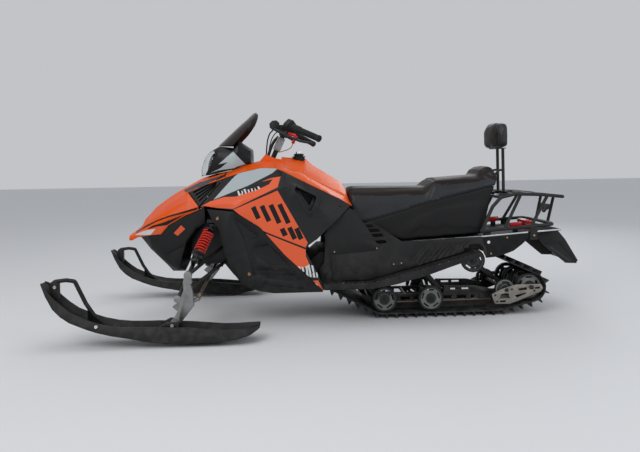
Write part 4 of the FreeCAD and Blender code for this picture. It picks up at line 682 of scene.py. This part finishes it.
# Seat: vinyl stretched over foam on a moulded base, brown-black and glossy on top, slate on the flanks and
# matt on the skirt, sewn along the shoulders, across the step and along the skirt, which a piping follows.
SEAT_SEAM = ((-960, 666), (-868, 666), (-811, 662), (-501, 585), (-221, 507), (-60, 462))
STEP_SEAM = ((-507, 590), (-526, 628), (-549, 690), (-562, 730))
SHOULDER = ((-109, 140, 636), (-497, 140, 642), (-552, 140, 690), (-790, 140, 702), (-812, 138, 730),
            (-850, 132, 745), (-888, 122, 722))


def seam_height(x):
    """Height of the skirt seam above the ground, in metres, at a place along the seat."""
    for (x0, z0), (x1, z1) in zip(SEAT_SEAM, SEAT_SEAM[1:]):
        if x * 1000 <= x1:
            return (z0 + (z1 - z0) * (x * 1000 - x0) / (x1 - x0)) * mm
    return SEAT_SEAM[-1][1] * mm


def near_line(point, line):
    """Distance in metres from a point to a line of points given in mm."""
    best = 1.0
    for a, b in zip(line, line[1:]):
        a, b = Vector(a) * mm, Vector(b) * mm
        t = max(0.0, min(1.0, (point - a).dot(b - a) / (b - a).length_squared))
        best = min(best, (point - a - (b - a) * t).length)
    return best


# Frames of the simulation that blows a cover up.
BLOW_FRAMES = 20


def stuffed(node, name, voxel, smoothing, swell, reach):
    """A foam piece in its cover: remeshed and rounded, blown up a little as cloth, and held at its seams.
    reach(point) is from 0 at a seam to 1 where the cover is free to crown."""
    piece = carried_over(node, name, edge=0)
    pick_only(piece)
    remesh = piece.modifiers.new("remesh", "REMESH")
    remesh.mode = "VOXEL"
    remesh.voxel_size = voxel * mm
    bpy.ops.object.modifier_apply(modifier="remesh")
    soften = piece.modifiers.new("soften", "SMOOTH")
    soften.factor = 0.5
    soften.iterations = smoothing
    bpy.ops.object.modifier_apply(modifier="soften")
    rest = [corner.co.copy() for corner in piece.data.vertices]
    cloth = piece.modifiers.new("stuffing", "CLOTH")
    cloth.settings.quality = 4
    cloth.settings.mass = 0.3
    cloth.settings.tension_stiffness = 12.0
    cloth.settings.compression_stiffness = 12.0
    cloth.settings.bending_stiffness = 1.5
    cloth.settings.use_pressure = True
    cloth.settings.uniform_pressure_force = 4.0
    cloth.settings.effector_weights.gravity = 0.0
    for step in range(1, BLOW_FRAMES + 1):
        scene.frame_set(step)
    blown = piece.evaluated_get(bpy.context.evaluated_depsgraph_get()).data.vertices
    moved = [corner.co.copy() for corner in blown]
    piece.modifiers.remove(cloth)
    scene.frame_set(1)
    for corner, start, end in zip(piece.data.vertices, rest, moved):
        shift = end - start
        limit = swell * mm * reach(start)
        corner.co = start + shift * min(1.0, limit / max(shift.length, 1e-9))
    finer = piece.modifiers.new("finer", "SUBSURF")
    finer.levels = 1
    finer.render_levels = 1
    bpy.ops.object.modifier_apply(modifier="finer")
    bpy.ops.object.shade_smooth()
    return piece


def sew(piece, depth, width, distance):
    """Draws the cover in along a seam: depth and width in mm, distance(point) in metres."""
    normals = [corner.normal.copy() for corner in piece.data.vertices]
    for corner, outward in zip(piece.data.vertices, normals):
        share = distance(corner.co) / (width * mm)
        if share < 1.0:
            corner.co -= outward * depth * mm * (1.0 - share) ** 2


vinyl_top = moulded("seat_vinyl", (0.010, 0.0055, 0.0048), 0.50, 0.25, 480.0, dust=0.0, shine=0.20)
vinyl_flank = moulded("flank_vinyl", (0.0120, 0.0126, 0.0155), 0.46, 0.28, 480.0, dust=0.0, shine=0.35)
vinyl_skirt = moulded("skirt_vinyl", (0.0058, 0.0058, 0.0062), 0.62, 0.4, 480.0, dust=0.0, shine=0.25)
# How far from the skirt seam, in metres, the cushion and the skirt are free to crown.
CUSHION_FREE = 0.06
SKIRT_FREE = 0.08
cushion = stuffed("seat_cushion", "seat_pad", 7.0, 5, 7.0,
                  lambda p: max(0.0, min(1.0, (p.z - seam_height(p.x)) / CUSHION_FREE)))
sew(cushion, 2.6, 9.0, lambda p: near_line(Vector((p.x, p.z)), STEP_SEAM))
sew(cushion, 1.8, 6.0, lambda p: near_line(Vector((p.x, abs(p.y), p.z)), SHOULDER))
# The cover's slight unevenness: its height in metres, and how many waves there are in a metre.
UNEVEN = 0.0009
WAVES = 11.0
normals = [corner.normal.copy() for corner in cushion.data.vertices]
for corner, outward in zip(cushion.data.vertices, normals):
    corner.co += outward * UNEVEN * noise.noise(corner.co * WAVES)
dress(cushion, vinyl_top, vinyl_flank)
# The top's half width in metres, and how far a face of the top may lean.
TOP_HALF = 0.142
TOP_LEAN = 0.35
for face in cushion.data.polygons:
    face.material_index = 0 if abs(face.center.y) < TOP_HALF and face.normal.z > TOP_LEAN else 1
skirt = stuffed("seat_base", "seat_skirt", 8.0, 3, 4.0,
                lambda p: max(0.0, min(1.0, (seam_height(p.x) - p.z) / SKIRT_FREE)))
dress(skirt, vinyl_skirt)


def run_tube(name, points, radius, finish):
    """A round bead on the chassis through the given points, made a mesh."""
    line = bpy.data.curves.new(name, "CURVE")
    line.dimensions = "3D"
    line.bevel_depth = radius * mm
    line.bevel_resolution = 2
    line.use_fill_caps = True
    run = line.splines.new("NURBS")
    run.points.add(len(points) - 1)
    for knot, place in zip(run.points, points):
        knot.co = (*place, 1)
    run.order_u = 3
    run.use_endpoint_u = True
    run.resolution_u = 4
    bead = bpy.data.objects.new(name, line)
    scene.collection.objects.link(bead)
    pick_only(bead)
    bpy.ops.object.convert(target="MESH")
    bpy.ops.object.shade_smooth()
    dress(bead, finish)
    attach(bead, "chassis")


# The piping: how many points, then in metres the first one's x, their step, from how far out and how far
# above the seam the cover is felt for, and how deep the bead sits in it.
PIPING_POINTS = 20
PIPING_FROM = -0.130
PIPING_STEP = 0.0375
PIPING_REACH = 0.4
PIPING_ABOVE = 0.004
PIPING_SUNK = 0.0012
bpy.context.view_layer.update()
for side, word in ((1, "left"), (-1, "right")):
    route = []
    for k in range(PIPING_POINTS):
        x = PIPING_FROM - PIPING_STEP * k
        above = (x, side * PIPING_REACH, seam_height(x) + PIPING_ABOVE)
        hit, at, normal, index = cushion.ray_cast(above, (0, -side, 0))
        if hit:
            route.append(Vector((x, at.y - side * PIPING_SUNK, seam_height(x))))
    run_tube("skirt_piping_" + word, route, 2.2, vinyl_flank)

# Backrest: a small rounded foam pad in the seat's vinyl, with a side band sewn in between two seams. It is
# screwed to a plate on two posts.
# The seams of the band, and where the back begins, which crowns by this share: x in metres.
BAND_FRONT, BAND_BACK = -0.902, -0.946
BACK_FROM, BACK_SHARE = -0.945, 0.3
back_pad = stuffed("backrest_pad", "backrest_cushion", 4.0, 16, 6.0,
                   lambda p: 1.0 if p.x > BACK_FROM else BACK_SHARE)
for at_x in (BAND_FRONT, BAND_BACK):
    sew(back_pad, 1.6, 4.0, lambda p: abs(p.x - at_x))
dress(back_pad, vinyl_top, vinyl_flank)
for face in back_pad.data.polygons:
    face.material_index = 1 if BAND_BACK < face.center.x < BAND_FRONT else 0

# Side covers: black moulded panels from the foot wells to the tunnel, with their screws, a plug, a seam line
# and, near their ends, the first of the slanted grooves that the tunnel's side carries on.
dark_mould = moulded("dark_mould", (0.0055, 0.0055, 0.006), 0.52, shine=0.3)
SLANTED = [((-498 - 26 * k, 356), (-417 - 26 * k, 258)) for k in range(8)]
for side, sign in (("left", 1), ("right", -1)):
    cover = carried_over("side_cover_" + side, "foot_cover_" + side, edge=1.2)
    dress(cover, dark_mould)
    score(cover, ((22, 335), (-232, 356), (-250, 380)))
    for groove in SLANTED:
        score(cover, groove, 7.0, 1.4)
    fasten("cover_screws_" + side, cover, ((-12, 356), (-227, 366), (-309, 287), (-348, 291)), 4.0,
           gold_screw, sides=(sign,))
    fasten("cover_plugs_" + side, cover, ((-118, 260),), 9.0, satin_black, sides=(sign,))

# Tunnel: folded black sheet with its rear deck, slanted grooves pressed in its sides, a bright edge strip
# along each side, and the screws that hold the rack and the flap.
tunnel = carried_over("tunnel", "tunnel_sheet", edge=1.0)
tunnel_paint = moulded("tunnel_paint", (0.0065, 0.0065, 0.0070), 0.62, 0.2, 420.0, shine=0.18)
dress(tunnel, tunnel_paint)
for groove in SLANTED:
    score(tunnel, groove, 7.0, 0.9)
# Edge strips: first x, z, last x, z, inner y, thickness and height, all in mm.
STRIPS = ((-362, 394, -780, 414, 203.0, 1.2, 6.5), (-780, 414, -1014, 430, 203.0, 1.2, 6.5),
          (-1066, 433, -1186, 440.5, 199.9, 1.4, 7.0))
strips = []
for x0, z0, x1, z1, inner, thick, high in STRIPS:
    for side in (1, -1):
        bpy.ops.object.select_all(action="DESELECT")
        bpy.ops.mesh.primitive_cube_add(size=1.0)
        strip = bpy.context.object
        long = math.hypot(x1 - x0, z1 - z0)
        rake = math.atan2(z1 - z0, x0 - x1)
        strip.data.transform(Matrix.Diagonal((long * mm, thick * mm, high * mm, 1)))
        rounding = strip.modifiers.new("edge", "BEVEL")
        rounding.width = 0.0004
        rounding.segments = 2
        bpy.ops.object.modifier_apply(modifier="edge")
        middle = Vector(((x0 + x1) / 2, side * (inner + thick / 2), (z0 + z1) / 2 - high / 2)) * mm
        strip.data.transform(Matrix.Translation(middle) @ Matrix.Rotation(rake, 4, "Y"))
        strips.append(strip)
joined(strips, "edge_strips", bright_cap, "chassis")
fasten("tunnel_screws", tunnel, ((-819, 322), (-905, 402), (-700, 396)), 4.5, gold_screw)

# Rear rack, hitch plate and backrest frame: round steel tubes and cut plates, welded and painted satin black.
# Gold-plated screws hold the rack's brackets to the sides of the tunnel.
# Node, new name, edge radius in mm.
FRAME_TUBES = (("backrest_posts", "backrest_frame", 0.8), ("rear_rack", "rack_tubes", 0.0),
               ("hitch_plate", "hitch_flange", 0.8))
for node, name, edge in FRAME_TUBES:
    piece = carried_over(node, name, edge=edge)
    dress(piece, satin_black)
    if node == "rear_rack":
        fasten("rack_screws", piece, ((-1045, 410),), 5.5, gold_screw)

# Snow flap and tail lamps: a moulded black sheet under the end of the tunnel, matt outside and polished by
# the snow on its inner faces, and lamps with red lenses, the front pair of them on black feet.
flap_inside = lacquer("polished_flap", (0.010, 0.010, 0.011), 0.24)
# The polished part, in metres: the front between the wings, and the wings' lower inner faces.
FRONT_HALF = 0.1445
WING_INNER, WING_OUTER = 0.1435, 0.1485
WING_TOP = 0.345
flap = carried_over("snow_flap", "flap_moulding", edge=1.5)
dress(flap, dark_mould, flap_inside)
for face in flap.data.polygons:
    across = abs(face.center.y)
    front = across < FRONT_HALF and face.normal.x > 0.2
    if front or (WING_INNER < across < WING_OUTER and face.center.z < WING_TOP):
        face.material_index = 1
red_lens, _, red_shader = new_finish("red_lens", (0.50, 0.004, 0.010), 0.12)
red_shader.inputs["Transmission Weight"].default_value = 0.2
# The black feet of the front pair are ahead of and below these, in metres.
FEET_FROM = -1.0
FEET_TOP = 0.4455
lamps = carried_over("tail_light", "tail_lamps", edge=2.0, steps=3)
dress(lamps, red_lens, satin_black)
for face in lamps.data.polygons:
    if face.center.x > FEET_FROM and face.center.z < FEET_TOP:
        face.material_index = 1

# Track: a moulded rubber belt with lugs. Running wheels: grey moulded discs with black rubber rims, dark hubs
# and a bolt at each axle's end. Slide rails: black plates with a bronze ledge and copper-coloured bolts.
track = carried_over("track", "track_belt", edge=1.2)
dress(track, rubber)
wheel_grey = moulded("wheel_grey_mould", (0.135, 0.142, 0.136), 0.5, 0.3, 300.0, dust=0.3)
# Axles: centre x, z and wheel radius, in mm.
AXLES = ((-272, 93, 64), (-513, 93, 64), (-737, 283, 61.8), (-1035, 140, 68.8), (-905, 128, 50))
# Shares of the radius: the rubber rim starts at the first, the hub ends at the second.
RIM_SHARE = 0.835
HUB_SHARE = 0.41
wheels = carried_over("track_wheels", "running_wheels", edge=0.6)
dress(wheels, wheel_grey, rubber, satin_black)
for face in wheels.data.polygons:
    x, z = face.center.x * 1000, face.center.z * 1000
    share = min(math.hypot(x - a, z - b) / r for a, b, r in AXLES)
    face.material_index = 1 if share > RIM_SHARE else (2 if share < HUB_SHARE else 0)
fasten("axle_bolts", wheels, tuple((x, z) for x, z, r in AXLES[:3]), 9.0, satin_black)
rails = carried_over("slide_rails", "rail_pair", edge=0.8)
bronze = metal("bronze_wear_strip", (0.28, 0.20, 0.14), 0.45)
dress(rails, satin_black, bronze)
# The wear ledge: its lower and upper height, the rail's middle and its half width, in metres.
LEDGE_LOW, LEDGE_HIGH = 0.0595, 0.0685
RAIL_MIDDLE, RAIL_HALF = 0.095, 0.0052
for face in rails.data.polygons:
    beside_rail = abs(abs(face.center.y) - RAIL_MIDDLE) > RAIL_HALF
    if LEDGE_LOW < face.center.z < LEDGE_HIGH and beside_rail:
        face.material_index = 1
fasten("rail_screws", rails, ((-642, 78),), 4.5, copper_screw)
plates = carried_over("axle_brackets", "axle_plates", edge=0.8)
dull_aluminium = metal("dull_aluminium", (0.34, 0.31, 0.28), 0.5, dust=0.5)
dress(plates, dull_aluminium)
fasten("plate_bolts", plates, ((-844, 103), (-931, 132), (-854, 71), (-1050, 122)), 5.0, satin_black)

# Front end and drive: springs painted red, machined spindles and plated tie rods on black arms, frame and
# shocks, with the moulded foot boards, and the drive parts and the engine that show through the openings.
red_paint = lacquer("spring_red_paint", (0.58, 0.016, 0.006), 0.28, 0.5)
zinc = metal("yellow_zinc", (0.34, 0.25, 0.18), 0.4, 200.0, 22.0, 0.3)
# Node, new name, finish, slot, edge radius in mm, body.
PLAIN = (("running_boards", "foot_boards", dark_mould, "black_plastic", 1.0, "chassis"),
         ("chain_case", "drive_housings", satin_black, "black_metal", 2.0, "chassis"),
         ("rear_suspension", "rear_arms", satin_black, "black_metal", 1.0, "chassis"),
         ("drive_axle", "drive_sprockets", satin_black, "black_metal", 0.6, "chassis"),
         ("engine_block", "engine_mass", satin_black, "iron", 6.0, "chassis"),
         ("bulkhead", "front_frame", satin_black, "black_metal", 0.8, "chassis"),
         ("lower_arms", "lower_wishbones", satin_black, "black_metal", 0.6, "chassis"),
         ("upper_arms", "upper_wishbones", satin_black, "black_metal", 0.6, "chassis"),
         ("front_shocks", "front_dampers", satin_black, "black_metal", 0.8, "chassis"),
         ("front_springs", "coil_springs", red_paint, "spring_red", 0.0, "chassis"),
         ("spindle_left", "spindle_blade_left", aluminium, "aluminium", 1.2, "spindle_left"),
         ("spindle_right", "spindle_blade_right", aluminium, "aluminium", 1.2, "spindle_right"),
         ("tie_rod_left", "tie_bar_left", zinc, "tie_zinc", 0.6, "tie_rod_left"),
         ("tie_rod_right", "tie_bar_right", zinc, "tie_zinc", 0.6, "tie_rod_right"))
for node, name, finish, slot, edge, body in PLAIN:
    piece = carried_over(node, name, edge=edge, body=body)
    dress(piece, finish)

# Skis: black moulded blades with a loop at the tip and a steel runner under the keel. Bright bolts hold the
# ends of the loop, and one goes through the foot at the pivot.
runner_steel = metal("runner_steel", (0.45, 0.45, 0.46), 0.3)
# The runner, in metres: the ski's middle, the runner's half width, its rear and front end and its top.
SKI_MIDDLE, RUNNER_HALF = 0.480, 0.0055
RUNNER_REAR, RUNNER_FRONT, RUNNER_TOP = 0.455, 0.905, 0.034
for side, sign in (("left", 1), ("right", -1)):
    ski = carried_over("ski_" + side, "ski_blade_" + side, edge=2.0, body="ski_" + side)
    dress(ski, dark_mould, runner_steel)
    for face in ski.data.polygons:
        on_keel = abs(face.center.y * sign - SKI_MIDDLE) < RUNNER_HALF and face.normal.z < 0.4
        if on_keel and RUNNER_REAR < face.center.x < RUNNER_FRONT and face.center.z < RUNNER_TOP:
            face.material_index = 1
    fasten("ski_screws_" + side, ski, ((1250, 268), (1056, 100), (733, 90)), 7.5, bright_screw,
           body="ski_" + side, sides=(sign,))
